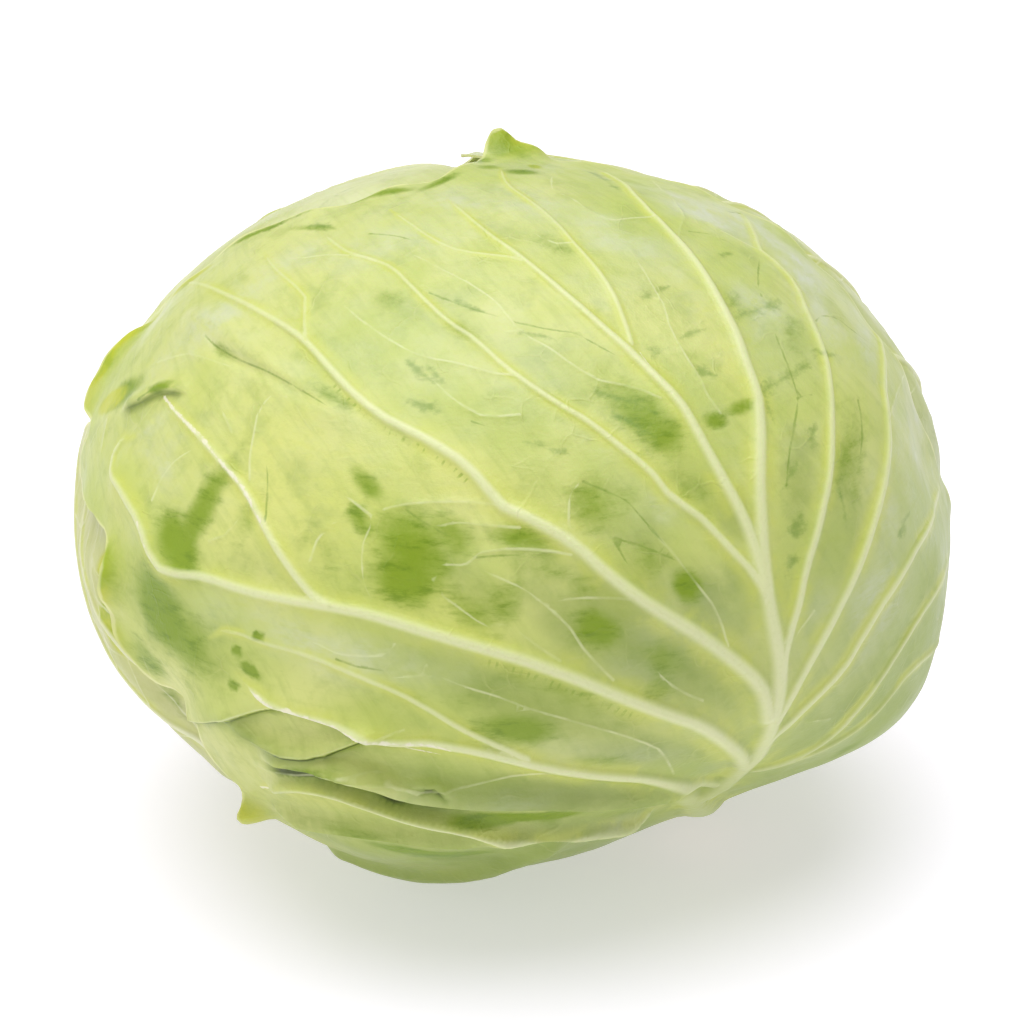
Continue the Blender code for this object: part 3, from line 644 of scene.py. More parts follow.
def lifted(leaf, ways, from_edge):
    """How much the margin is curled away from the head, 0 to 1."""
    most = np.zeros(len(ways))
    for flare in leaf.flares:
        most = np.maximum(most, flare.rise(ways, np.maximum(from_edge, 0)) / (3 * MM))
    return np.clip(most, 0, 1)


# ---------------------------------------------------------------- the front leaf, line by line

STEM = polar((11.5, -4), (23, -6), (37, -5))


def front_ribs():
    midrib = np.vstack([STEM, place((690, 797), (715, 787), (745, 764), (765, 735), (775, 700), (778, 665),
                                    (772, 630), (765, 590), (761, 540), (758, 483), (759, 421), (756, 392),
                                    (745, 363), (733, 329), (718, 299), (701, 270), (682, 245), (661, 222),
                                    (637, 199), (599, 170))])
    first_left = place((712, 781), (648, 778), (594, 773), (541, 765), (482, 751), (434, 743), (388, 737),
                       (347, 721), (297, 707), (264, 693), (237, 673))
    first_branch = place((527, 757), (501, 746), (460, 727), (415, 700), (380, 684), (320, 659), (285, 648),
                         (260, 641), (232, 630), (219, 631), (209, 638))
    second_left = place((741, 764), (735, 750), (703, 726), (672, 714), (621, 695), (568, 674), (514, 655),
                        (447, 636), (376, 615), (337, 607), (275, 596), (246, 589), (207, 576), (174, 570),
                        (158, 553), (147, 521), (129, 491), (117, 470), (115, 450), (122, 441), (135, 436))
    second_branch = place((332, 606), (311, 593), (285, 558), (259, 514), (243, 486), (218, 457), (195, 431),
                          (165, 397))
    third_left = place((764, 716), (760, 690), (749, 674), (724, 653), (695, 632), (667, 615), (640, 598),
                       (605, 571), (571, 541), (525, 515), (504, 506), (491, 492), (465, 463), (429, 440),
                       (406, 428), (385, 417), (360, 398), (340, 378), (307, 342), (284, 325), (248, 305),
                       (225, 294), (207, 286), (188, 284))
    third_branch = place((307, 342), (304, 317), (305, 296), (275, 268), (264, 252))
    fourth_left = place((766, 604), (754, 575), (739, 558), (720, 537), (695, 512), (671, 497), (649, 470),
                        (615, 442), (587, 420), (553, 400), (507, 368), (474, 338), (447, 320), (415, 290),
                        (394, 269), (376, 260), (346, 251), (321, 232))
    fifth_left = place((764, 590), (757, 563), (749, 535), (735, 503), (722, 480), (700, 440), (680, 405),
                       (653, 375), (628, 350), (594, 320), (559, 290), (525, 260), (495, 239), (470, 219),
                       (447, 200))
    fifth_branch = place((631, 343), (624, 322), (612, 294), (596, 269), (575, 244), (559, 226), (532, 203),
                         (507, 184), (500, 168))
    fifth_twig = place((526, 261), (520, 258), (465, 251), (435, 240), (406, 221), (390, 210))
    first_right = place((781, 668), (783, 659), (787, 638), (796, 606), (806, 564), (819, 522), (827, 486),
                        (831, 428), (829, 384), (823, 350), (808, 314), (796, 287), (779, 266), (760, 251),
                        (754, 234), (741, 213))
    second_right = place((776, 718), (783, 707), (804, 669), (829, 623), (853, 573), (871, 528), (882, 489),
                         (887, 421), (884, 392), (882, 358), (878, 342), (861, 308), (840, 270), (815, 241),
                         (798, 228))
    third_right = place((765, 741), (775, 733), (808, 703), (842, 669), (867, 627), (893, 585), (924, 533),
                        (943, 486))
    fourth_right = place((757, 768), (787, 760), (825, 739), (850, 714), (882, 674), (914, 625), (935, 592),
                         (952, 554))
    fifth_right = place((753, 769), (804, 756), (836, 741), (861, 724), (888, 697), (914, 667), (943, 633))
    low_rib = np.vstack([polar((40, -15)), place((640, 815), (609, 821), (568, 826), (514, 828), (460, 819),
                                                 (411, 808), (365, 792), (331, 782), (297, 779), (264, 785))])
    return [
        Rib(midrib, (9.0, 0.9), (3.9, 0.5), taper=0.35),
        Rib(first_left, (2.9, 1.1), (2.0, 0.7)),
        Rib(second_left, (3.0, 1.2), (2.2, 0.7), ticks=(45, 90)),
        Rib(third_left, (3.0, 0.6), (2.2, 0.35), ticks=(88, 142)),
        Rib(fourth_left, (1.6, 0.7), (0.9, 0.35)),
        Rib(fifth_left, (2.6, 0.6), (1.6, 0.35)),
        Rib(first_right, (1.8, 0.8), (1.0, 0.4)),
        Rib(second_right, (2.0, 0.9), (1.2, 0.5)),
        Rib(third_right, (1.9, 0.9), (1.1, 0.5)),
        Rib(fourth_right, (1.8, 0.9), (1.0, 0.5)),
        Rib(fifth_right, (1.6, 0.8), (0.9, 0.4)),
        Rib(first_branch, (1.4, 0.6), (0.8, 0.35)),
        Rib(second_branch, (1.7, 0.8), (1.1, 0.4)),
        Rib(third_branch, (0.8, 0.5), (0.4, 0.2)),
        Rib(fifth_branch, (1.1, 0.6), (0.6, 0.3)),
        Rib(fifth_twig, (0.8, 0.5), (0.35, 0.2)),
        Rib(low_rib, (1.7, 1.0), (1.1, 0.7)),
    ]


# Thin pale veins between the ribs, by the pixels they pass.
VEIN_ROUTES = (
    ((376, 261), (357, 256), (330, 255), (300, 258), (275, 258)),
    ((513, 375), (491, 372), (456, 362), (424, 356), (399, 345), (371, 327), (353, 313), (337, 299)),
    ((660, 398), (633, 386), (598, 379), (571, 363), (548, 347), (523, 333), (511, 320), (493, 299), (470, 283),
     (442, 269), (422, 258), (408, 253), (394, 258)),
    ((516, 331), (500, 331), (488, 336)),
    ((658, 216), (631, 218), (610, 220), (592, 212), (571, 198), (553, 189), (552, 173)),
    ((720, 413), (709, 400), (699, 377), (682, 350), (669, 325), (663, 304), (649, 281), (633, 255), (617, 239)),
    ((573, 242), (550, 242), (527, 228)),
    ((520, 414), (495, 416), (474, 412), (447, 393), (424, 370)),
    ((498, 504), (459, 501), (422, 502), (397, 505), (374, 513), (370, 527), (364, 541), (362, 559), (364, 582),
     (371, 598), (380, 612)),
    ((371, 515), (360, 504), (344, 495), (330, 483)),
    ((520, 527), (491, 525), (459, 522), (431, 525), (424, 509)),
    ((571, 554), (548, 550), (514, 548), (488, 550), (477, 554), (468, 564), (454, 564), (433, 566), (433, 577),
     (438, 591), (459, 607), (479, 621), (502, 633)),
    ((613, 679), (594, 660), (578, 641), (565, 620), (543, 603), (525, 589), (495, 575), (470, 564)),
    ((628, 598), (601, 597), (571, 598), (543, 603)),
    ((573, 541), (566, 531), (569, 518), (570, 495), (580, 481), (578, 472), (569, 463)),
    ((727, 644), (722, 625), (714, 606), (705, 594), (690, 575), (674, 554), (658, 536), (640, 515)),
    ((760, 251), (741, 241), (720, 230), (707, 222), (703, 216), (685, 216)),
    ((678, 240), (680, 226), (684, 216), (674, 201), (661, 190), (650, 180)),
    ((888, 417), (897, 392), (903, 371), (908, 354)),
    ((674, 774), (665, 756), (656, 747), (634, 738), (608, 730), (568, 719), (530, 708), (495, 695), (460, 684),
     (434, 674), (407, 676), (380, 678)),
    ((530, 708), (514, 712), (506, 719)),
    ((559, 771), (514, 775), (460, 785), (407, 783), (384, 767), (343, 765), (297, 762), (262, 758)),
    ((395, 643), (388, 654), (343, 654), (320, 645), (297, 634)),
    ((427, 664), (432, 673), (411, 675), (384, 680)),
    ((158, 362), (184, 354), (200, 356), (218, 362), (232, 367), (239, 376)),
    ((250, 480), (250, 457), (255, 429), (259, 411), (266, 399), (282, 396), (296, 402), (305, 420), (321, 440)),
    ((108, 420), (103, 445), (101, 461), (92, 473)),
    ((813, 610), (802, 625), (796, 636), (788, 655)),
    ((829, 718), (813, 721), (796, 728)),
    ((310, 560), (322, 530), (341, 520), (352, 515)),
    ((209, 540), (228, 532), (247, 505)),
    ((232, 432), (222, 410), (214, 398)),
    ((155, 500), (166, 470), (190, 450), (205, 444)),
    ((703, 700), (680, 690), (662, 676), (650, 660)),
    ((560, 660), (530, 640), (510, 625), (480, 622)),
)

# Fine green lines where the blade is creased or where a thin vein lies in it.
GROOVE_ROUTES = (
    ((583, 481), (605, 490), (626, 500), (640, 515), (658, 536), (674, 554)),
    ((615, 538), (640, 545), (670, 557), (690, 568)),
    ((615, 541), (628, 564), (644, 577)),
    ((406, 509), (429, 525), (468, 545)),
    ((477, 557), (500, 555), (537, 554)),
    ((787, 485), (788, 464), (792, 438), (797, 413), (798, 397), (792, 375), (783, 352), (773, 325), (774, 320)),
    ((798, 398), (808, 394), (819, 397), (827, 405)),
    ((817, 320), (823, 315), (838, 318), (850, 327), (865, 339), (874, 344)),
    ((762, 295), (759, 289), (758, 274), (760, 253)),
    ((266, 521), (267, 480), (264, 450)),
    ((369, 232), (396, 235), (422, 242)),
    ((741, 213), (724, 209), (703, 198)),
    ((429, 292), (461, 304), (495, 315), (511, 320)),
    ((516, 322), (548, 329), (575, 333), (598, 345), (628, 361)),
    ((575, 333), (589, 327)),
    ((472, 421), (500, 430)),
    ((336, 659), (356, 666), (384, 670), (400, 672)),
    ((207, 336), (216, 346), (241, 360), (269, 372), (305, 392), (340, 413)),
    ((142, 401), (165, 388), (184, 391)),
    ((858, 400), (862, 430), (858, 470)),
    ((690, 230), (720, 236), (745, 255)),
)

# Ragged dark streaks where the blade is bruised, and a last one that is painted shadow under the lowest pleat's crest:
# a route and a half width in mm.
STREAK_ROUTES = (
    (((764, 391), (778, 381), (792, 373), (806, 366), (821, 356)), 1.7), (((821, 354), (835, 354), (850, 357)), 1.4),
    (((682, 337), (700, 330), (714, 325)), 1.6), (((655, 352), (666, 347), (680, 344)), 2.0),
    (((700, 370), (716, 375), (733, 381)), 1.8), (((735, 318), (763, 307), (791, 295)), 2.2),
    (((644, 297), (660, 290), (682, 280)), 1.3), (((722, 255), (735, 253), (748, 255)), 1.1),
    (((810, 440), (816, 425), (820, 411)), 1.5), (((787, 480), (795, 465), (806, 449)), 1.7),
    (((766, 402), (773, 420), (779, 442)), 1.3), (((525, 441), (550, 447), (587, 459)), 1.4),
    (((415, 402), (440, 410), (461, 418)), 1.6), (((312, 226), (328, 227), (346, 231)), 1.6),
    (((408, 361), (429, 379), (451, 392)), 1.6), (((592, 172), (610, 184), (630, 197)), 1.4),
    (((900, 532), (908, 515), (915, 500)), 1.4), (((795, 530), (803, 510), (806, 490)), 1.9),
    (((790, 568), (800, 545), (806, 532)), 1.7), (((600, 392), (625, 400), (650, 410), (672, 424)), 1.5),
    (((612, 412), (640, 428), (668, 446)), 1.5), (((430, 368), (445, 382), (455, 392)), 1.0),
    (((455, 300), (480, 310), (505, 318)), 1.0), (((520, 332), (545, 336), (570, 345)), 1.0),
    (((840, 490), (846, 520), (842, 545)), 1.0), (((420, 856), (450, 857), (480, 855)), 2.4),
)

# Rough white scars on the ribs, and thin pale lines along the pleats' crests that are painted highlights: a route and a
# half width in mm.
SCAR_ROUTES = (
    (((450, 749), (430, 743), (400, 738), (370, 731), (343, 721), (320, 714), (300, 707), (275, 700), (255, 688),
      (240, 676)), 0.8),
    (((440, 754), (415, 749), (390, 742), (370, 740), (348, 733)), 0.4),
    (((262, 786), (286, 786), (316, 783), (345, 789), (385, 803), (420, 813), (460, 822)), 0.75),
    (((165, 397), (185, 420), (205, 440), (222, 462), (240, 482), (255, 508), (275, 545)), 0.75),
    (((640, 352), (648, 366), (656, 378)), 0.5),
    (((147, 521), (158, 553), (174, 570)), 0.6),
)
# Painted highlights: thin pale lines along the pleats' crests.
CREST_HIGHLIGHT_ROUTES = (
    ((300, 708), (276, 703), (250, 709), (213, 717), (191, 713), (168, 697), (150, 668), (138, 640)),
    ((405, 728), (368, 734), (345, 742), (323, 748), (290, 747), (260, 738), (236, 724), (215, 710)),
    ((675, 791), (633, 797), (595, 801), (548, 800), (475, 800), (430, 796)),
    ((607, 825), (553, 828), (501, 833), (465, 838), (430, 836), (397, 832), (349, 826), (314, 821), (290, 813),
     (269, 797)),
    ((420, 786), (384, 774), (343, 769), (300, 768), (262, 764)),
)

# Patches in the blade: the pixel of the middle, half length and half width in mm, the lean and how strong it is.
# Deeper green patches. The long thin ones just under the pleats' crests at the lower left are painted shadow.
GREEN_AND_SHADE = (
    ((413, 552), 13, 8, 62, 1.0), ((408, 578), 9, 7, 0, 1.1), ((450, 535), 9, 5, 20, 0.8),
    ((515, 537), 9, 3, 10, 0.8), ((592, 507), 8, 6, 60, 0.75), ((597, 629), 6, 4.5, 35, 1.1),
    ((687, 585), 4, 3.6, 60, 1.3), ((505, 604), 6, 5, 60, 0.65), ((640, 412), 11, 6, 38, 1.0),
    ((660, 432), 7, 6, 40, 1.0), ((367, 483), 6, 2.6, 45, 1.0), ((360, 520), 5, 2.6, 60, 0.9),
    ((200, 512), 13, 4.2, 118, 1.1), ((243, 522), 5, 4, 80, 0.55), ((387, 300), 6, 5, 0, 0.6),
    ((516, 729), 10, 4.5, 5, 1.1), ((667, 658), 6, 5, 0, 0.7), ((660, 688), 5, 4, 0, 0.6),
    ((715, 420), 3.5, 2.4, 0, 1.1), ((741, 407), 4.5, 2.0, -20, 1.1), ((846, 750), 6, 3.5, -30, 0.8),
    ((258, 635), 1.3, 1.2, 0, 1.6), ((237, 650), 1.4, 1.2, 0, 1.6), ((250, 669), 2.8, 1.3, 35, 1.6),
    ((235, 684), 1.5, 1.2, 0, 1.5), ((520, 817), 17, 2.0, -1, 1.7), ((430, 853), 14, 3.0, 3, 2.0),
    ((185, 640), 9, 8, 60, 0.8), ((160, 610), 10, 7, 60, 1.3), ((150, 660), 7, 5, 50, 0.9),
    ((180, 545), 9, 5, 60, 1.2), ((110, 560), 7, 3.5, 75, 0.9), ((112, 635), 6, 5, 60, 1.2),
    ((305, 762), 8, 1.4, 0, 1.2), ((360, 824), 12, 2.0, 8, 0.7), ((480, 160), 6, 4, -50, 0.9),
    ((508, 152), 8, 6, 20, 0.9), ((521, 172), 5, 3, 0, 1.0), ((487, 168), 4, 3, 0, 0.9),
    ((345, 203), 16, 1.3, -14, 1.0), ((390, 193), 7, 2.2, -8, 1.1), ((440, 182), 9, 2.0, -22, 1.0),
    ((262, 232), 11, 1.3, -25, 1.1), ((315, 228), 9, 1.6, 0, 0.8), ((124, 392), 8, 4, -25, 1.2),
    ((165, 388), 5, 1.6, -12, 1.2), ((330, 395), 9, 2, 35, 0.6), ((225, 352), 7, 1.8, 32, 0.7),
    ((620, 500), 6, 4, 0, 0.5), ((470, 330), 8, 4, 30, 0.45), ((560, 250), 9, 5, 30, 0.35),
    ((730, 300), 12, 6, 60, 0.45), ((800, 340), 10, 7, 60, 0.4), ((850, 460), 14, 6, 95, 0.5),
    ((560, 575), 12, 4, 30, 0.5), ((470, 610), 10, 4, 30, 0.6), ((330, 560), 10, 5, 60, 0.35),
    ((560, 690), 14, 4, 18, 0.55), ((450, 700), 12, 4, 12, 0.4), ((700, 500), 9, 5, 60, 0.4),
    ((640, 560), 8, 4, 30, 0.4), ((900, 640), 12, 5, 120, 0.4), ((600, 760), 10, 2.5, 3, 0.5),
)
# Grey waxen bloom, and paler patches that are painted sheen where highlights fall on the blade.
WAX_AND_SHEEN = (
    ((810, 275), 16, 8, 50, 0.9), ((760, 230), 18, 6, 35, 0.8), ((480, 200), 18, 5, 0, 0.6),
    ((250, 300), 14, 6, -35, 0.5), ((800, 270), 24, 8, 55, 1.1), ((850, 310), 17, 7, 62, 1.0),
    ((912, 420), 16, 7, 85, 1.1), ((890, 560), 26, 12, 105, 0.7), ((700, 620), 12, 9, 0, 0.4),
    ((640, 680), 10, 5, 20, 0.3), ((350, 655), 24, 6, 12, 0.6), ((240, 612), 14, 6, 10, 0.3),
    ((600, 752), 18, 4, 4, 0.4), ((470, 795), 22, 3, 3, 0.3), ((640, 495), 12, 7, 50, 0.5),
    ((775, 330), 14, 8, 60, 0.7), ((700, 210), 26, 9, 22, 0.9), ((540, 205), 26, 8, 15, 0.7),
    ((820, 620), 16, 8, 120, 0.3), ((620, 820), 8, 4, -10, 0.9), ((620, 240), 16, 8, 30, 0.5),
    ((200, 335), 16, 7, -40, 0.6), ((160, 440), 12, 8, 60, 0.7), ((340, 250), 22, 7, -10, 0.5),
    ((590, 830), 9, 2.5, -10, 0.9),
)
# Darker green patches, partly the blade's own deeper green and partly painted shade on the lower front, which faces
# away from the light.
DEEP_GREEN_AND_SHADE = (
    ((570, 630), 12, 6, 30, 0.8), ((650, 685), 14, 6, 25, 0.8), ((690, 630), 10, 6, 60, 0.7),
    ((560, 375), 10, 5, 40, 0.3), ((165, 615), 8, 8, 65, 0.8), ((700, 610), 13, 8, 60, 1.0),
    ((735, 515), 7, 5, 75, 0.9), ((560, 375), 12, 7, 40, 0.35), ((455, 320), 14, 8, 30, 0.35),
    ((590, 660), 16, 5, 24, 0.6), ((300, 470), 10, 6, 40, 0.3), ((250, 560), 9, 5, 0, 0.4),
    ((650, 640), 30, 16, 32, 1.0), ((560, 600), 14, 7, 30, 0.7), ((520, 700), 34, 8, 20, 0.8),
    ((640, 750), 22, 6, 5, 0.7), ((520, 790), 34, 6, 2, 1.0), ((160, 610), 12, 10, 65, 0.8),
    ((180, 560), 10, 8, 60, 0.5), ((200, 640), 10, 9, 60, 0.5), ((480, 590), 14, 6, 30, 0.6),
    ((640, 540), 14, 7, 40, 0.6), ((700, 480), 10, 7, 60, 0.5), ((840, 520), 22, 9, 100, 0.5),
    ((800, 480), 12, 5, 95, 0.6), ((250, 735), 12, 4, 25, 0.7), ((400, 800), 16, 3, 10, 0.8),
    ((420, 655), 16, 4, 12, 0.4), ((830, 720), 14, 6, 140, 0.5), ((470, 858), 18, 5, 0, 0.7),
    ((330, 840), 10, 4, 20, 0.4), ((740, 600), 12, 5, 80, 0.6),
)
LIME = (
    ((140, 320), 9, 3.5, -40, 1.2), ((106, 366), 6, 3.4, -60, 1.1), ((112, 400), 8, 3.2, -30, 1.1),
    ((192, 281), 8, 1.8, -42, 1.2), ((106, 565), 4, 6, 80, 1.0), ((113, 640), 6, 6, 50, 1.2),
    ((255, 808), 5, 5, 20, 1.3), ((474, 152), 5, 2.4, -65, 0.9), ((828, 256), 6, 2.4, 52, 1.4),
    ((858, 276), 2, 1.4, 52, 1.3), ((80, 455), 4, 6, 80, 0.6), ((190, 735), 6, 2.2, 60, 0.7),
    ((535, 166), 3, 2, 50, 0.8), ((345, 196), 12, 1.0, -14, 0.7),
)
# Painted light: yellower patches where light falls on the thin blade.
SUNNY = (
    ((300, 480), 26, 18, 40, 1.0), ((160, 430), 16, 12, 70, 0.9), ((185, 350), 16, 9, -30, 0.6),
    ((455, 475), 22, 9, 30, 0.8), ((640, 445), 14, 8, 40, 0.7), ((430, 600), 16, 5, 14, 0.6),
    ((722, 350), 16, 4, 68, 0.9), ((560, 300), 20, 9, 38, 0.4), ((330, 800), 16, 4, 12, 0.8),
    ((430, 868), 20, 4, 3, 0.9), ((250, 545), 16, 7, 15, 0.5), ((120, 500), 8, 6, 70, 0.8),
    ((300, 268), 20, 7, 10, 0.3), ((570, 780), 20, 3, 2, 0.3),
)


def front_folds():
    """The pleats at the lower left, from the upper one down, and the swells and dents of the blade."""
    return [
        Fold(place((434, 744), (388, 738), (347, 722), (300, 707), (276, 702), (250, 708), (213, 716), (191, 712),
                   (168, 696)), 2.4, (4.5, 1.1), shade=0.9),
        Fold(place((405, 727), (368, 733), (345, 741), (323, 747), (290, 746), (260, 737), (236, 723), (215, 709)),
             2.7, (3.2, 1.1), shade=1.1),
        Fold(place((430, 788), (400, 778), (349, 768), (302, 766), (269, 764), (245, 757)), 1.6, (2.2, 1.6)),
        Fold(place((695, 784), (668, 790), (633, 795), (595, 799), (548, 798), (475, 798), (430, 794), (397, 787),
                   (373, 776), (349, 768), (326, 762), (302, 758), (274, 756), (256, 753)),
             3.8, (3.4, 1.0), shade=1.15, dark=2.8),
        Fold(place((460, 792), (450, 787), (430, 780), (410, 780)), 1.4, (1.6, 0.7), ends=(4, 4), shade=0.95, dark=1.2),
        Fold(place((530, 829), (500, 826), (460, 817), (420, 809), (385, 798), (345, 784), (316, 778), (290, 777),
                   (264, 782)), 4.2, (2.4, 3.0), shade=0.5),
        Fold(place((655, 810), (607, 823), (553, 826), (501, 831), (465, 836), (430, 834), (397, 830), (349, 824),
                   (314, 819), (290, 811), (268, 794)), 3.8, (3.0, 1.1), shade=1.1, dark=2.6),
        Fold(polar((48, -28), (47, -44), (49, -60), (58, -73), (68, -79)), 3.2, (4.5, 4.5)),
        Fold(place((207, 576), (174, 570), (158, 553), (147, 521), (129, 491), (115, 450)), 2.0, (5.0, 5.0), shade=0.15),
        Fold(place((340, 417), (305, 396), (269, 376), (241, 364), (216, 350), (205, 338)), -1.0, (1.8, 1.4)),
        Fold(place((360, 424), (321, 406), (298, 388), (275, 369), (253, 349), (230, 330), (207, 317), (184, 310)),
             1.4, (2.6, 4.5), shade=0.2),
        Fold(place((190, 391), (165, 389), (142, 400), (122, 409)), 1.6, (3.0, 0.9), ends=(4, 5), shade=0.75),
    ]


def front_flares():
    """Where the front leaf's edge curls out: the tab on top, the lobes at the left and the tab at the lower left."""
    return [
        Flare(polar((148, 103)), 5.4, 6.2, 7.0),
        Flare(polar((143, 97)), 3.2, 6.5, 6.0),
        Flare(seen((252, 804)), 6.5, 6.0, 6.0),
        Flare(seen((108, 575)), 3.2, 7.0, 5.0),
        Flare(seen((112, 640)), 3.2, 7.0, 5.0),
        Flare(seen((90, 400)), 2.6, 7.0, 5.0),
        Flare(seen((118, 345)), 2.8, 7.0, 5.0),
        Flare(polar((96, 86)), 6.0, 5.0, 5.0),
        Flare(polar((88.5, 84)), 3.6, 2.6, 4.0),
    ]


def front_edge():
    """The front leaf's edge: from the stalk down its lower left, up its left side, over the top and down again."""
    underneath = polar((11.5, -16), (12, -42), (20, -70), (31, -90), (43, -99), (55, -99), (65, -92), (71, -85))
    left = seen((276, 829), (246, 792), (199, 757), (178, 708), (150, 690), (130, 657), (113, 610), (112, 548),
                (84, 505), (72, 470), (88, 432), (88, 402), (105, 372), (122, 342), (146, 308))
    top = polar((162, -88), (168, -78), (174, -24), (169, 22), (163, 52), (157, 62), (153, 78), (150.5, 92), (147, 101),
                (142, 99), (137, 96), (128, 97), (119, 93))
    right = polar((112, 88), (106, 84.5), (99, 82), (91, 79.5), (83, 78), (76, 77), (69, 77), (62, 80), (54, 87),
                  (46, 93), (37, 95), (28, 88), (19, 62), (12, 30), (11.5, 8))
    return np.vstack([underneath, left, top, right])


def front_leaf():
    # The pleats' crests get thin pale lines, painted highlights, made as flat veins.
    crest_highlights = [Vein(place(*route), (0.45, 0.35), (0.05, 0.05)) for route in CREST_HIGHLIGHT_ROUTES]
    lines = {
        "vein_and_crest_highlight": [Vein(place(*route), (0.55, 0.32), (0.26, 0.12)) for route in VEIN_ROUTES] + crest_highlights,
        "groove": [Groove(place(*route), (0.42, 0.32), (0.2, 0.1)) for route in GROOVE_ROUTES],
        "streak": [Groove(place(*route), (half * 1.7, half * 1.5), (0.1, 0.05)) for route, half in STREAK_ROUTES],
        "scar": [Groove(place(*route), (half, half), (0, 0)) for route, half in SCAR_ROUTES],
    }
    patches = {"green_and_shade": GREEN_AND_SHADE, "wax_and_sheen": WAX_AND_SHEEN, "sunny": SUNNY, "deep_green_and_shade": DEEP_GREEN_AND_SHADE, "lime": LIME}
    patches = {name: [Patch(*patch) for patch in rows] for name, rows in patches.items()}
    return Leaf(polar((98, 2)), front_edge(), front_ribs(), lines, front_folds(), front_flares(), patches,
                turn=5, seed=1)


# ---------------------------------------------------------------- the leaves that show from the sides and behind

def hidden_edge(turn, spread, top):
    """The edge of a leaf that shows mostly from behind, with a shallow dent on its top and waves down its sides."""
    sides = np.array([(11.5, 22), (12, 44), (16, 62), (26, 74), (40, 80), (54, 81), (68, 84), (84, 81), (97, 80),
                      (111, 71), (122, 66), (133, 52), (141, 36), (145, 16)], float)
    tilts = 11.5 + (sides[:, 0] - 11.5) * (top - 11.5) / 143
    right = np.stack([tilts, turn + sides[:, 1] * spread], 1)
    left = np.stack([tilts, turn - sides[:, 1] * spread * 0.95], 1)
    return polar(*right, (top - 1.5, turn), *left[::-1], (11.5, turn))


def hidden_ribs(turn, spread, top):
    """A midrib and six ribs to each side of it, which rise towards the leaf's edge."""
    midrib = polar((11.5, turn), (30, turn + 2), (55, turn), (80, turn + 3), (105, turn + 1), (top - 8, turn - 2))
    ribs = [Rib(midrib, (8.5, 0.9), (3.6, 0.5), taper=0.45)]
    for side in (-1, 1):
        for rank in range(6):
            start = 30 + 13 * rank + 4 * (side > 0)
            climb = min(26 + 9 * rank, top - 10 - start)
            reach = (78 - 7.5 * rank) * spread * side
            path = [(start + climb * share, turn + 1 + reach * share ** 1.15 + 2.5 * math.sin(5 * share + rank) * share)
                    for share in np.linspace(0, 1, 6)]
            ribs.append(Rib(polar(*path), (2.5 - 0.15 * rank, 0.7), (1.7 - 0.14 * rank, 0.3)))
    return ribs


def side_veins(ribs, seed):
    """Thin veins that leave the ribs to both sides and bend towards the leaf's edge."""
    draw = np.random.default_rng(seed)
    veins = []
    for rib in ribs:
        line = curve(rib.line, 4 * MM)
        gap = 14 * MM
        for place_mm in np.arange(22 * MM, rib.length - 8 * MM, gap):
            for side in (-1, 1):
                index = int((place_mm + draw.uniform(-4, 4) * MM) / rib.length * (len(line) - 1))
                index = min(max(index, 1), len(line) - 2)
                veins.append(vein_route(line[index], line[index + 1] - line[index - 1], side, draw))
    return [Vein(route, (0.5, 0.3), (0.25, 0.12)) for route in veins]


def vein_route(start, ahead, side, draw):
    """A route that leaves a rib at an angle and bends forward, in short steps."""
    way, route = start, [start]
    ahead = unit(ahead)
    lean = side * draw.uniform(38, 62) * DEG
    bend = -side * draw.uniform(2, 7) * DEG
    for _ in range(draw.integers(5, 9)):
        sideways = np.cross(way, ahead)
        lean += bend + draw.uniform(-7, 7) * DEG
        step = unit(ahead * math.cos(lean) + sideways * math.sin(lean))
        way = unit(way + step * 4 * MM / MEAN_RADIUS)
        route.append(way)
    return route


UNDER_PLAN = (-62, 1.0, 150)
SIDE_PLAN = (112, 1.0, 152)
BACK_PLAN = (-172, 1.05, 158)

# Patches that the leaves under the front one have where they show at the left and below it. The green ones are painted
# shade under the front leaf's lowest pleat and beside its edge.
UNDER_LIME = (
    ((112, 632), 6, 5, 60, 2.2), ((104, 566), 4, 6, 80, 1.4), ((178, 300), 12, 2, -45, 1.6),
)
UNDER_GREEN_AND_SHADE = (((430, 856), 15, 2.6, 3, 2.0), ((360, 850), 9, 2, 14, 1.2), ((160, 690), 8, 3, 50, 0.7))


def hidden_leaf(plan, over, wave, seed):
    ribs = hidden_ribs(*plan)
    patches = {"lime": [Patch(*patch) for patch in UNDER_LIME], "green_and_shade": [Patch(*patch) for patch in UNDER_GREEN_AND_SHADE]}
    return Leaf(polar((80, plan[0])), hidden_edge(*plan), ribs, {"vein_and_crest_highlight": side_veins(ribs, seed)}, patches=patches,
                over=over, wave=wave, turn=plan[0], seed=seed)


def leaf_plans():
    front = front_leaf()
    under = hidden_leaf(UNDER_PLAN, [front], (0.6, 27), 21)
    side = hidden_leaf(SIDE_PLAN, [front, under], (0.8, 23), 31)
    back = hidden_leaf(BACK_PLAN, [front, under, side], (0.8, 29), 41)
    return {"front_leaf": front, "under_leaf": under, "side_leaf": side, "back_leaf": back}


# ---------------------------------------------------------------- the heart and the stalk

STALK_ROOT = head_radius(STALK_WAY[None])[0] - 4 * LAYER - HEART_GAP


def deselect():
    for thing in bpy.context.selected_objects:
        thing.select_set(False)


def heart_ribs(turn, top):
    """The ribs of one of the heart's leaves, a fan that runs up from the stalk's side and closes over the top."""
    ribs = []
    for lean in range(-54, 55, 12):
        path = [(tilt, turn + lean * (1.15 - 0.35 * (tilt - 60) / 110) + 4 * math.sin(0.06 * tilt + lean))
                for tilt in range(62, top - abs(lean) // 4, 12)]
        ribs.append(Rib(polar(*path), (3.0 - abs(lean) / 60, 1.7), (1.0, 0.3)))
    return ribs


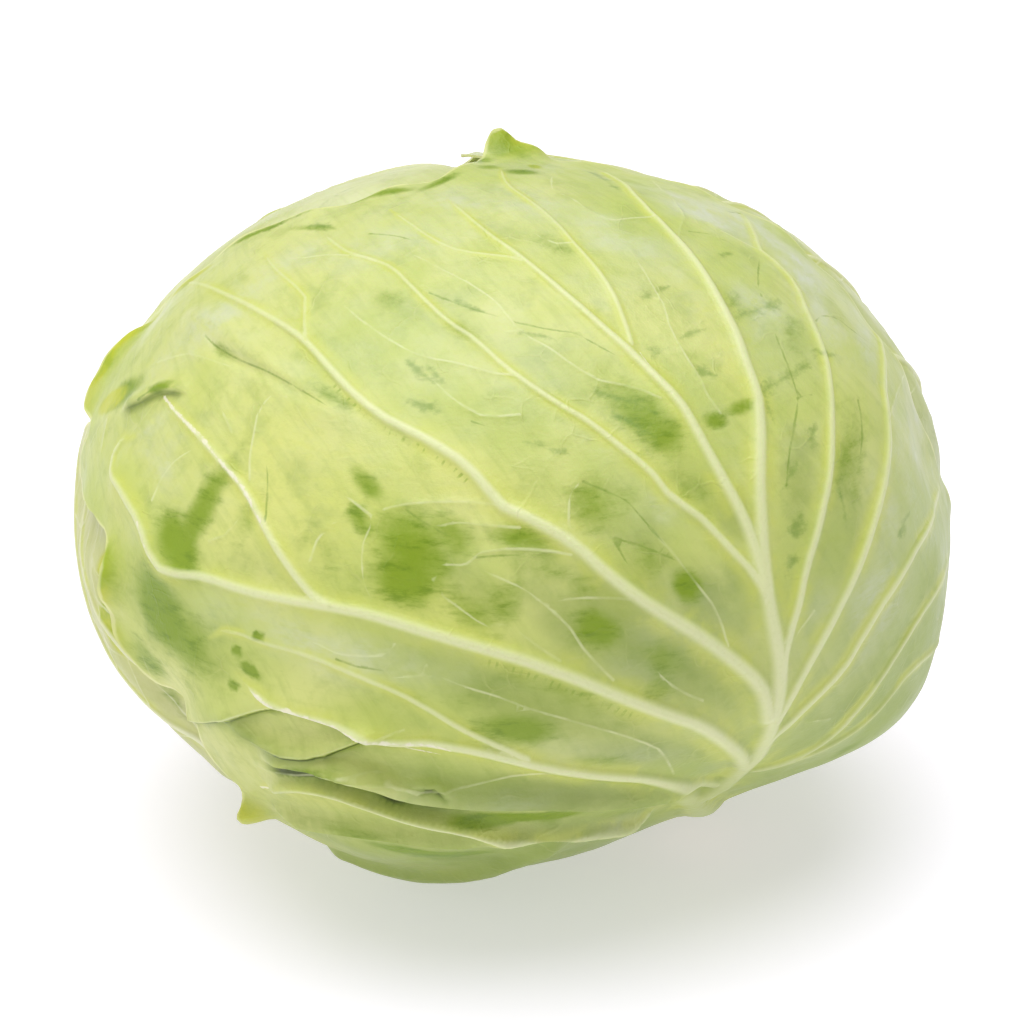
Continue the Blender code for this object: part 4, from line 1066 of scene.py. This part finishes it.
# The heart's own leaves, the lowest first: a middle, a reach round it, a height and ribs.
HEART_LAPS = (
    (polar((120, 150)), 78 * DEG, 0.8 * MM, heart_ribs(150, 176)),
    (polar((128, -120)), 66 * DEG, 0.9 * MM, heart_ribs(-120, 168)),
    (polar((120, 30)), 58 * DEG, 1.0 * MM, heart_ribs(30, 160)),
)


def heart_piece(leaves):
    """The tight head inside the wrappers: a ball pressed to the head's shape, with its own leaves' edges and ribs."""
    deselect()
    bpy.ops.mesh.primitive_ico_sphere_add(subdivisions=7, radius=1)
    piece = bpy.context.object
    piece.name = piece.data.name = "heart_leaves"
    flat = np.empty(len(piece.data.vertices) * 3)
    piece.data.vertices.foreach_get("co", flat)
    ways = unit(flat.reshape(-1, 3))
    relief, share, run = np.zeros(len(ways)), np.full(len(ways), -2.0), np.zeros(len(ways))
    lips = np.zeros(len(ways))
    for number, (middle, reach, height, ribs) in enumerate(HEART_LAPS):
        angle = np.arccos(np.clip(ways @ middle[0], -1, 1)) + 3 * DEG * ripple(ways, 30 * MM, 4 + number)
        lap = height * ramp(reach, reach - 1.2 * DEG, angle) * (1 + ramp(60 * DEG, 0, angle))
        rise, near_rib = np.zeros(len(ways)), np.full(len(ways), -2.0)
        for rib in ribs:
            rise = np.maximum(rise, rib.rise(ways))
            near_rib = np.maximum(near_rib, rib.share(ways)[0])
        on_top = lap >= relief
        lap = lap + rise * ramp(reach, reach - 5 * DEG, angle)
        share = np.where(on_top, near_rib, share)
        lips = np.where(on_top, ramp(reach - 3.5 * DEG, reach - 0.5 * DEG, angle), lips)
        relief = np.maximum(relief, lap)
    relief += 0.25 * MM * ripple(ways, 18 * MM, 3)
    depth = np.zeros(len(ways))
    for leaf in leaves:
        depth += LAYER * ramp(-14 * MM, -2 * MM, leaf.from_edge(ways)[0])
    points = on_head(ways, head_radius(ways), depth + HEART_GAP - relief)
    along = (points - MIDDLE) @ STALK_WAY
    off_axis = np.linalg.norm(points - MIDDLE - along[:, None] * STALK_WAY, axis=1)
    too_high = np.where((along > 0) & (off_axis < 2 * STALK_RADIUS), np.maximum(along - STALK_ROOT + 0.5 * MM, 0), 0)
    points -= too_high[:, None] * STALK_WAY
    piece.data.vertices.foreach_set("co", points.ravel())
    piece.data.update()
    heart_marks(piece, ways, share, lips)
    return piece


def heart_marks(piece, ways, share, lips):
    mesh = piece.data
    zero = np.zeros(len(ways))
    from_stalk = np.arccos(np.clip(ways @ STALK_WAY, -1, 1))
    for name, values in {"rib": share, "rib_run": zero, "rib_wide": zero + 1.2, "rib_ticks": zero, "vein_and_crest_highlight": zero - 2,
                         "groove": zero - 2, "streak": zero - 2, "scar": zero - 2, "green_and_shade": lips * 0.5, "wax_and_sheen": zero,
                         "sunny": zero, "deep_green_and_shade": zero, "lime": zero, "painted_shade": zero, "from_edge": zero + 30,
                         "from_stalk": from_stalk / DEG, "lifted": zero}.items():
        add_value(mesh, name, values)
    turn = np.arctan2(ways @ TURN_RIGHT, ways @ TURN_ZERO)
    flat = np.stack([turn * np.sin(from_stalk), from_stalk], 1) * MEAN_RADIUS / MM
    corner = np.empty(len(mesh.loops), int)
    mesh.loops.foreach_get("vertex_index", corner)
    mesh.uv_layers[0].name = "leaf_mm"
    mesh.uv_layers[0].uv.foreach_set("vector", flat[corner].astype(np.float32).ravel())


def stalk_piece():
    """The cut stump in the dimple: a turned stub, its rim eased, its cut face a little domed and rough."""
    deselect()
    root, tip = STALK_ROOT, head_radius(STALK_WAY[None])[0] + STALK_OUT
    turn = Vector(STALK_WAY).to_track_quat("Z", "Y").to_euler()
    bpy.ops.mesh.primitive_cylinder_add(vertices=96, radius=STALK_RADIUS, depth=tip - root,
                                        location=MIDDLE + STALK_WAY * (root + tip) / 2, rotation=turn)
    piece = bpy.context.object
    piece.name = piece.data.name = "stalk_stump"
    bpy.ops.object.mode_set(mode="EDIT")
    bpy.ops.mesh.select_all(action="SELECT")
    bpy.ops.mesh.bevel(offset=1.4 * MM, segments=4)
    bpy.ops.object.mode_set(mode="OBJECT")
    select_faces(piece, lambda face: face.area > 1e-4 and face.normal.z > 0.9)
    bpy.ops.object.mode_set(mode="EDIT")
    for _ in range(9):
        bpy.ops.mesh.inset(thickness=1.25 * MM)
    bpy.ops.mesh.poke()
    bpy.ops.object.mode_set(mode="OBJECT")
    bpy.ops.object.transform_apply(location=True, rotation=True, scale=True)
    bpy.ops.object.mode_set(mode="EDIT")
    bpy.ops.mesh.select_all(action="SELECT")
    bpy.ops.mesh.bisect(plane_co=MIDDLE + STALK_WAY * (tip - 5 * MM), plane_no=STALK_WAY)
    bpy.ops.object.mode_set(mode="OBJECT")
    shape_stump(piece, root, tip)
    return piece


def select_faces(piece, wanted):
    for part in (piece.data.vertices, piece.data.edges, piece.data.polygons):
        for each in part:
            each.select = False
    for face in piece.data.polygons:
        face.select = wanted(face)


def shape_stump(piece, root, tip):
    """Makes the stump a little uneven round its side, and rough and slightly domed on its cut face."""
    for vertex in piece.data.vertices:
        point = np.array(vertex.co) - MIDDLE
        out = point @ STALK_WAY
        across = point - out * STALK_WAY
        turn = math.atan2(across @ TURN_RIGHT, across @ TURN_ZERO)
        radius = np.linalg.norm(across)
        swell = 1 + 0.03 * math.sin(3 * turn) + 0.02 * math.sin(5 * turn + 1)
        taper = 0.92 + 0.08 * min(1, (out - root) / (5 * MM))
        across *= swell * taper
        if out > tip - 0.3 * MM:
            share = radius / STALK_RADIUS
            out += (0.5 * (1 - share ** 2) * 0.6 + 0.22 * noise.noise(Vector(point) / (3.2 * MM))) * MM
        vertex.co = MIDDLE + out * STALK_WAY + across


# ---------------------------------------------------------------- materials

def colour(hex_text):
    """An sRGB hex colour as linear light."""
    parts = [int(hex_text[k:k + 2], 16) / 255 for k in (1, 3, 5)]
    return [part / 12.92 if part <= 0.04045 else ((part + 0.055) / 1.055) ** 2.4 for part in parts] + [1]


def node(tree, kind, settings=(), links=()):
    """Adds a node. A number in links fills that input, and a socket is joined to it."""
    made = tree.nodes.new(kind)
    for key, value in dict(settings).items():
        setattr(made, key, value)
    for key, value in dict(links).items():
        if isinstance(value, bpy.types.NodeSocket):
            tree.links.new(value, made.inputs[key])
        else:
            made.inputs[key].default_value = value
    return made


def waxy_leaf(name, fresh, deep, pale, rib_pale, bloom_share, seed):
    """Cabbage leaf with its waxen coat on: a soft sheen, pale ribs, torn green patches and a grey bloom near the stalk,
    and painted light and shade: lit yellow patches, painted sheen, pale painted highlights on the pleats' crests and
    painted shade in the folds, beside overlying leaves and low down.
    """
    material = bpy.data.materials.new(name)
    material.use_nodes = True
    tree = material.node_tree
    shader = tree.nodes["Principled BSDF"]

    def value(attribute):
        return node(tree, "ShaderNodeAttribute", {"attribute_name": attribute}).outputs["Fac"]

    def span(source, low, high):
        return node(tree, "ShaderNodeMapRange", {"interpolation_type": "SMOOTHSTEP"},
                    {0: source, 1: low, 2: high, 3: 0.0, 4: 1.0}).outputs[0]

    def maths(kind, a, b, clamp=False):
        return node(tree, "ShaderNodeMath", {"operation": kind, "use_clamp": clamp}, {0: a, 1: b}).outputs[0]

    def times(*parts):
        made = parts[0]
        for part in parts[1:]:
            made = maths("MULTIPLY", made, part)
        return made

    def without(share):
        return maths("SUBTRACT", 1.0, share, True)

    def blend(share, under, over):
        return node(tree, "ShaderNodeMix", {"data_type": "RGBA"}, {0: share, 6: under, 7: over}).outputs[2]

    def cloud(vector, scale, detail, rough=0.55):
        return node(tree, "ShaderNodeTexNoise", {}, {"Vector": vector, "Scale": scale, "Detail": detail,
                                                     "Roughness": rough}).outputs[0]

    def torn(source, noises, amount, low, high):
        """A share whose border is broken up by noise."""
        return span(maths("ADD", source, maths("MULTIPLY", maths("SUBTRACT", noises, 0.5), amount)), low, high)

    here = node(tree, "ShaderNodeTexCoord").outputs["Object"]
    flat = node(tree, "ShaderNodeUVMap", {"uv_map": "leaf_mm"}).outputs[0]
    drawn = node(tree, "ShaderNodeMapping", {}, {"Vector": flat, "Scale": (0.35, 0.05, 1), "Location": (seed, 0, 0)})
    streaks = cloud(drawn.outputs[0], 1.0, 4.0, 0.6)
    level = node(tree, "ShaderNodeMapping", {}, {"Vector": here, "Scale": (120, 120, 420)})
    brushed = cloud(level.outputs[0], 1.0, 4.0, 0.7)
    large = cloud(here, 26.0, 3.0)
    middling = cloud(here, 90.0, 4.0, 0.6)
    fine = cloud(here, 300.0, 3.0, 0.65)
    speck = cloud(here, 1000.0, 2.0, 0.6)

    # Thin net of the smallest veins, about 6 mm across a mesh, bent by noise so that it isn't straight.
    bent = node(tree, "ShaderNodeVectorMath", {"operation": "ADD"}, {0: here, 1: node(
        tree, "ShaderNodeVectorMath", {"operation": "SCALE"},
        {0: node(tree, "ShaderNodeTexNoise", {}, {"Vector": here, "Scale": 90.0, "Detail": 2.0}).outputs[1],
         "Scale": 0.008}).outputs[0]}).outputs[0]
    cells = node(tree, "ShaderNodeTexVoronoi", {"feature": "DISTANCE_TO_EDGE"}, {"Vector": bent, "Scale": 130.0})
    net = times(without(span(cells.outputs[0], 0.0, 0.06)), span(middling, 0.45, 0.7))

    rib, stalk_angle = value("rib"), value("from_stalk")
    height = node(tree, "ShaderNodeSeparateXYZ", {}, {0: here}).outputs[2]

    base = blend(span(large, 0.35, 0.65), colour(fresh), colour(pale))
    # Painted light: yellower where light falls on the thin blade.
    base = blend(times(value("sunny"), 0.6), base, colour("#d2d56a"))
    base = blend(times(span(streaks, 0.45, 0.72), 0.25), base, colour(deep))
    base = blend(times(span(brushed, 0.5, 0.75), 0.2), base, colour(deep))
    base = blend(times(span(middling, 0.48, 0.7), 0.35), base, colour(deep))
    base = blend(times(span(fine, 0.5, 0.8), 0.2), base, colour(deep))
    # The blade is greener and darker towards the stalk.
    base = blend(times(without(span(stalk_angle, 38.0, 92.0)), bloom_share), base, colour("#8fa552"))
    # Darker green patches: partly own colour, partly painted shade on the lower front.
    base = blend(times(torn(value("deep_green_and_shade"), middling, 0.8, 0.0, 1.1), 0.72), base, colour("#7e9336"))
    # Darker and greener low down on the head: partly the leaves' own deeper colour, partly painted shade where the
    # underside faces away from the light.
    base = blend(times(without(span(height, 0.0, 0.085)), 0.36), base, colour("#70842c"))
    base = blend(times(net, 0.22), base, colour(pale))
    # The grey waxen bloom, rubbed off in patches, mixed with painted sheen: paler patches where highlights fall, and
    # more of it higher up where the light falls from above.
    rubbed = times(span(cloud(here, 55.0, 4.0), 0.35, 0.65), span(brushed, 0.25, 0.6))
    wax_and_sheen_amount = maths("ADD", value("wax_and_sheen"), times(span(height, 0.08, 0.17), 0.3))
    bloom_and_sheen = times(wax_and_sheen_amount, maths("ADD", 0.35, times(rubbed, 0.75)))
    base = blend(times(bloom_and_sheen, 0.75), base, colour("#ccd2b8"))
    # Yellow light beside the ribs.
    base = blend(times(span(rib, -1.8, 0.1), maths("ADD", 0.15, times(span(middling, 0.4, 0.6), 0.45))), base,
                 colour("#c9d062"))
    # Green patches with torn, brushed borders, and ragged bruises. A few of the patches and the last streak are painted
    # shadow under the pleats' crests.
    patch = torn(value("green_and_shade"), maths("ADD", times(middling, 0.6), times(brushed, 0.4)), 1.3, 0.15, 1.05)
    base = blend(times(patch, 0.92), base, colour("#7b960a"))
    base = blend(times(patch, span(brushed, 0.48, 0.7), 0.65), base, colour("#64820e"))
    lime = torn(value("lime"), middling, 0.7, 0.2, 0.7)
    base = blend(times(lime, 0.88), base, blend(span(middling, 0.4, 0.65), colour("#bcc22a"), colour("#9cae1e")))
    bruise_and_shadow = torn(value("streak"), maths("ADD", times(brushed, 0.5), times(fine, 0.5)), 3.4, 0.3, 1.3)
    base = blend(times(bruise_and_shadow, 0.6), base, colour("#6d8c30"))
    # Painted shade: darker and greener under the pleats' crests and beside the edges of overlying leaves, near black in
    # the deepest cracks.
    base = blend(times(span(value("painted_shade"), 0.0, 1.0), 0.75), base, colour("#6c821c"))
    base = blend(times(span(value("painted_shade"), 0.75, 1.4), 0.9), base, colour("#3f4d10"))
    ticks = node(tree, "ShaderNodeTexWave", {"bands_direction": "X"}, {
        "Vector": node(tree, "ShaderNodeCombineXYZ", {}, {0: value("rib_run"), 1: rib}).outputs[0],
        "Scale": 0.17, "Distortion": 3.0, "Detail": 2.0, "Detail Scale": 1.5}).outputs[1]
    fringe = times(span(ticks, 0.6, 0.9), span(rib, -1.0, -0.3), without(span(rib, -0.1, 0.15)), value("rib_ticks"))
    base = blend(times(fringe, span(fine, 0.4, 0.6), 0.6), base, colour("#849f2c"))
    # Thin veins that come and go, pale painted highlights along the pleats' crests, and thin green creases.
    base = blend(times(span(value("vein_and_crest_highlight"), 0.0, 0.8), maths("ADD", 0.15, times(span(middling, 0.38, 0.6), 0.4))), base,
                 colour(rib_pale))
    base = blend(times(span(value("groove"), 0.0, 0.8), maths("ADD", 0.3, times(span(fine, 0.35, 0.6), 0.4))), base,
                 colour("#7f983a"))
    # Ribs, greener towards the stalk, and rough white scars.
    wide = span(value("rib_wide"), 0.4, 1.8)
    crest = times(span(rib, 0.12, 0.85), maths("ADD", 0.4, times(wide, 0.5)))
    ribs = blend(span(stalk_angle, 22.0, 62.0), colour("#b2bd74"), colour(rib_pale))
    ribs = blend(times(span(speck, 0.45, 0.75), 0.25), ribs, colour("#c8cf8e"))
    base = blend(crest, base, ribs)
    base = blend(times(torn(value("scar"), fine, 2.4, 0.3, 0.9), 0.8), base, colour("#e9e5cc"))
    # Margins: vivid and thin where the blade curls up, and a thin pale line.
    vivid = blend(span(middling, 0.4, 0.6), colour("#b7bd24"), colour("#9db026"))
    base = blend(times(value("lifted"), 0.85), base, vivid)
    base = blend(times(without(span(value("from_edge"), 0.15, 0.9)), 0.6), base, colour("#dfe0a0"))

    relief = maths("ADD", times(fine, 0.4), times(net, 0.2))
    relief = maths("ADD", relief, maths("ADD", times(speck, 0.15), times(brushed, 0.25)))
    bump = node(tree, "ShaderNodeBump", {}, {"Strength": 0.4, "Distance": 0.001, "Height": relief})
    tree.links.new(base, shader.inputs["Base Color"])
    tree.links.new(bump.outputs[0], shader.inputs["Normal"])
    rough = maths("ADD", 0.34, times(span(cloud(here, 60.0, 3.0), 0.3, 0.7), 0.16))
    tree.links.new(rough, shader.inputs["Roughness"])
    shader.inputs["Metallic"].default_value = 0
    shader.inputs["IOR"].default_value = 1.45
    shader.inputs["Subsurface Weight"].default_value = 0.08
    shader.inputs["Subsurface Radius"].default_value = (0.5, 1.0, 0.2)
    shader.inputs["Subsurface Scale"].default_value = 0.0015
    return material


def cut_stump():
    """A cut, dried stalk: cream and woody, in rings, mottled by fine pores."""
    material = bpy.data.materials.new("cut_stalk_flesh")
    material.use_nodes = True
    tree = material.node_tree
    shader = tree.nodes["Principled BSDF"]
    here = node(tree, "ShaderNodeTexCoord").outputs["Object"]
    centred = node(tree, "ShaderNodeMapping", {"vector_type": "TEXTURE"}, {
        "Vector": here, "Location": MIDDLE,
        "Rotation": Vector(STALK_WAY).to_track_quat("Z", "Y").to_euler()}).outputs[0]
    rings = node(tree, "ShaderNodeTexWave", {"wave_type": "RINGS", "rings_direction": "Z"}, {
        "Vector": centred, "Scale": 70.0, "Distortion": 4.0, "Detail": 3.0, "Detail Scale": 2.0}).outputs[1]
    pores = node(tree, "ShaderNodeTexNoise", {}, {"Vector": here, "Scale": 700.0, "Detail": 4.0}).outputs[0]
    face = node(tree, "ShaderNodeMix", {"data_type": "RGBA"}, {0: rings, 6: colour("#d9d2a4"), 7: colour("#c4b582")})
    shade = node(tree, "ShaderNodeMapRange", {}, {0: pores, 3: 0.5, 4: 1.2}).outputs[0]
    mottled = node(tree, "ShaderNodeMix", {"data_type": "RGBA", "blend_type": "MULTIPLY"},
                   {0: 0.35, 6: face.outputs[2], 7: shade})
    bump = node(tree, "ShaderNodeBump", {}, {"Strength": 0.6, "Distance": 0.0008, "Height": pores})
    tree.links.new(mottled.outputs[2], shader.inputs["Base Color"])
    tree.links.new(bump.outputs[0], shader.inputs["Normal"])
    shader.inputs["Roughness"].default_value = 0.72
    shader.inputs["IOR"].default_value = 1.45
    return material


# ---------------------------------------------------------------- stage, light and camera

FLOOR_SIZE = 8
FLOOR_GLOW = 0.45
ROOM_LIGHT = 0.36


def studio():
    deselect()
    bpy.ops.mesh.primitive_plane_add(size=FLOOR_SIZE, location=(0, 0, 0))
    floor = bpy.context.object
    floor.name = "floor"
    floor.location = (0, 0, 0)
    # White paper on a table that is lit from below, so that only the deepest shade of the head shows on it.
    paper = bpy.data.materials.new("lit_white_paper")
    paper.use_nodes = True
    shader = paper.node_tree.nodes["Principled BSDF"]
    shader.inputs["Base Color"].default_value = colour("#d6d2de")
    shader.inputs["Roughness"].default_value = 0.9
    shader.inputs["Specular IOR Level"].default_value = 0.1
    shader.inputs["Emission Color"].default_value = (1, 1, 1, 1)
    shader.inputs["Emission Strength"].default_value = FLOOR_GLOW
    floor.data.materials.append(paper)
    world = bpy.data.worlds.new("soft_room")
    world.use_nodes = True
    world.node_tree.nodes["Background"].inputs[0].default_value = (1, 1, 1, 1)
    world.node_tree.nodes["Background"].inputs[1].default_value = ROOM_LIGHT
    bpy.context.scene.world = world
    add_lamp("key", "SUN", (-0.08, -0.02, 1.0), 2.8, 62 * DEG)
    add_lamp("fill", "SUN", (-0.8, -0.4, 0.45), 0.4, 50 * DEG)
    bpy.context.scene.view_settings.view_transform = "Standard"
    bpy.context.scene.view_settings.look = "None"


def add_lamp(name, kind, way, strength, angle):
    lamp = bpy.data.lights.new(name, kind)
    lamp.energy, lamp.angle = strength, angle
    thing = bpy.data.objects.new(name, lamp)
    thing.rotation_euler = Vector(way).to_track_quat("Z", "Y").to_euler()
    bpy.context.scene.collection.objects.link(thing)


def camera():
    lens = bpy.data.cameras.new("camera")
    lens.sensor_width = 36
    lens.lens = 36 * CAMERA_SCALE_PX / 1024
    thing = bpy.data.objects.new("camera", lens)
    lift = (CAMERA_MIDDLE_PX[1] - 512) / CAMERA_SCALE_PX * CAMERA_AWAY
    thing.location = CAMERA_EYE + CAMERA_UP * lift
    thing.rotation_euler = Vector(-BACK_TO_CAMERA).to_track_quat("-Z", "Y").to_euler()
    bpy.context.scene.collection.objects.link(thing)
    bpy.context.scene.camera = thing


def smooth(piece, angle):
    deselect()
    piece.select_set(True)
    bpy.context.view_layer.objects.active = piece
    bpy.ops.object.shade_smooth_by_angle(angle=angle)


# Each piece's slot and material, with its fresh, deep, pale and rib colours and how dull it is near the stalk.
SKINS = {
    "front_leaf": ("outer_leaf_skin", "outer_leaf_wax", "#b7c461", "#92a63c", "#cbd17c", "#d9dea8", 0.7),
    "under_leaf": ("under_leaf_skin", "under_leaf_wax", "#bcc176", "#a2ab55", "#cbcd90", "#dddfb6", 0.4),
    "side_leaf": ("side_leaf_skin", "side_leaf_wax", "#b8c274", "#98a94c", "#cad090", "#dcdfb2", 0.6),
    "back_leaf": ("back_leaf_skin", "back_leaf_wax", "#b8c376", "#9aab4e", "#cad093", "#dde0b4", 0.5),
    "heart": ("heart_skin", "heart_wax", "#c3ca82", "#aab562", "#d3d79e", "#e2e4bc", 0.3),
}


def main():
    leaves = leaf_plans()
    materials = {name: waxy_leaf(*skin[1:], seed) for seed, (name, skin) in enumerate(SKINS.items(), 1)}
    for name, leaf in leaves.items():
        piece = leaf_piece(name + "_blade", leaf)
        piece.data.materials.append(materials[name])
        smooth(piece, 65 * DEG)
        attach(piece, "root")
        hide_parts(name)
    heart = heart_piece(leaves.values())
    heart.data.materials.append(materials["heart"])
    smooth(heart, 65 * DEG)
    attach(heart, "root")
    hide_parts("heart")
    stalk = stalk_piece()
    stalk.data.materials.append(cut_stump())
    smooth(stalk, 40 * DEG)
    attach(stalk, "root")
    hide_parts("stalk")
    studio()
    camera()


main()
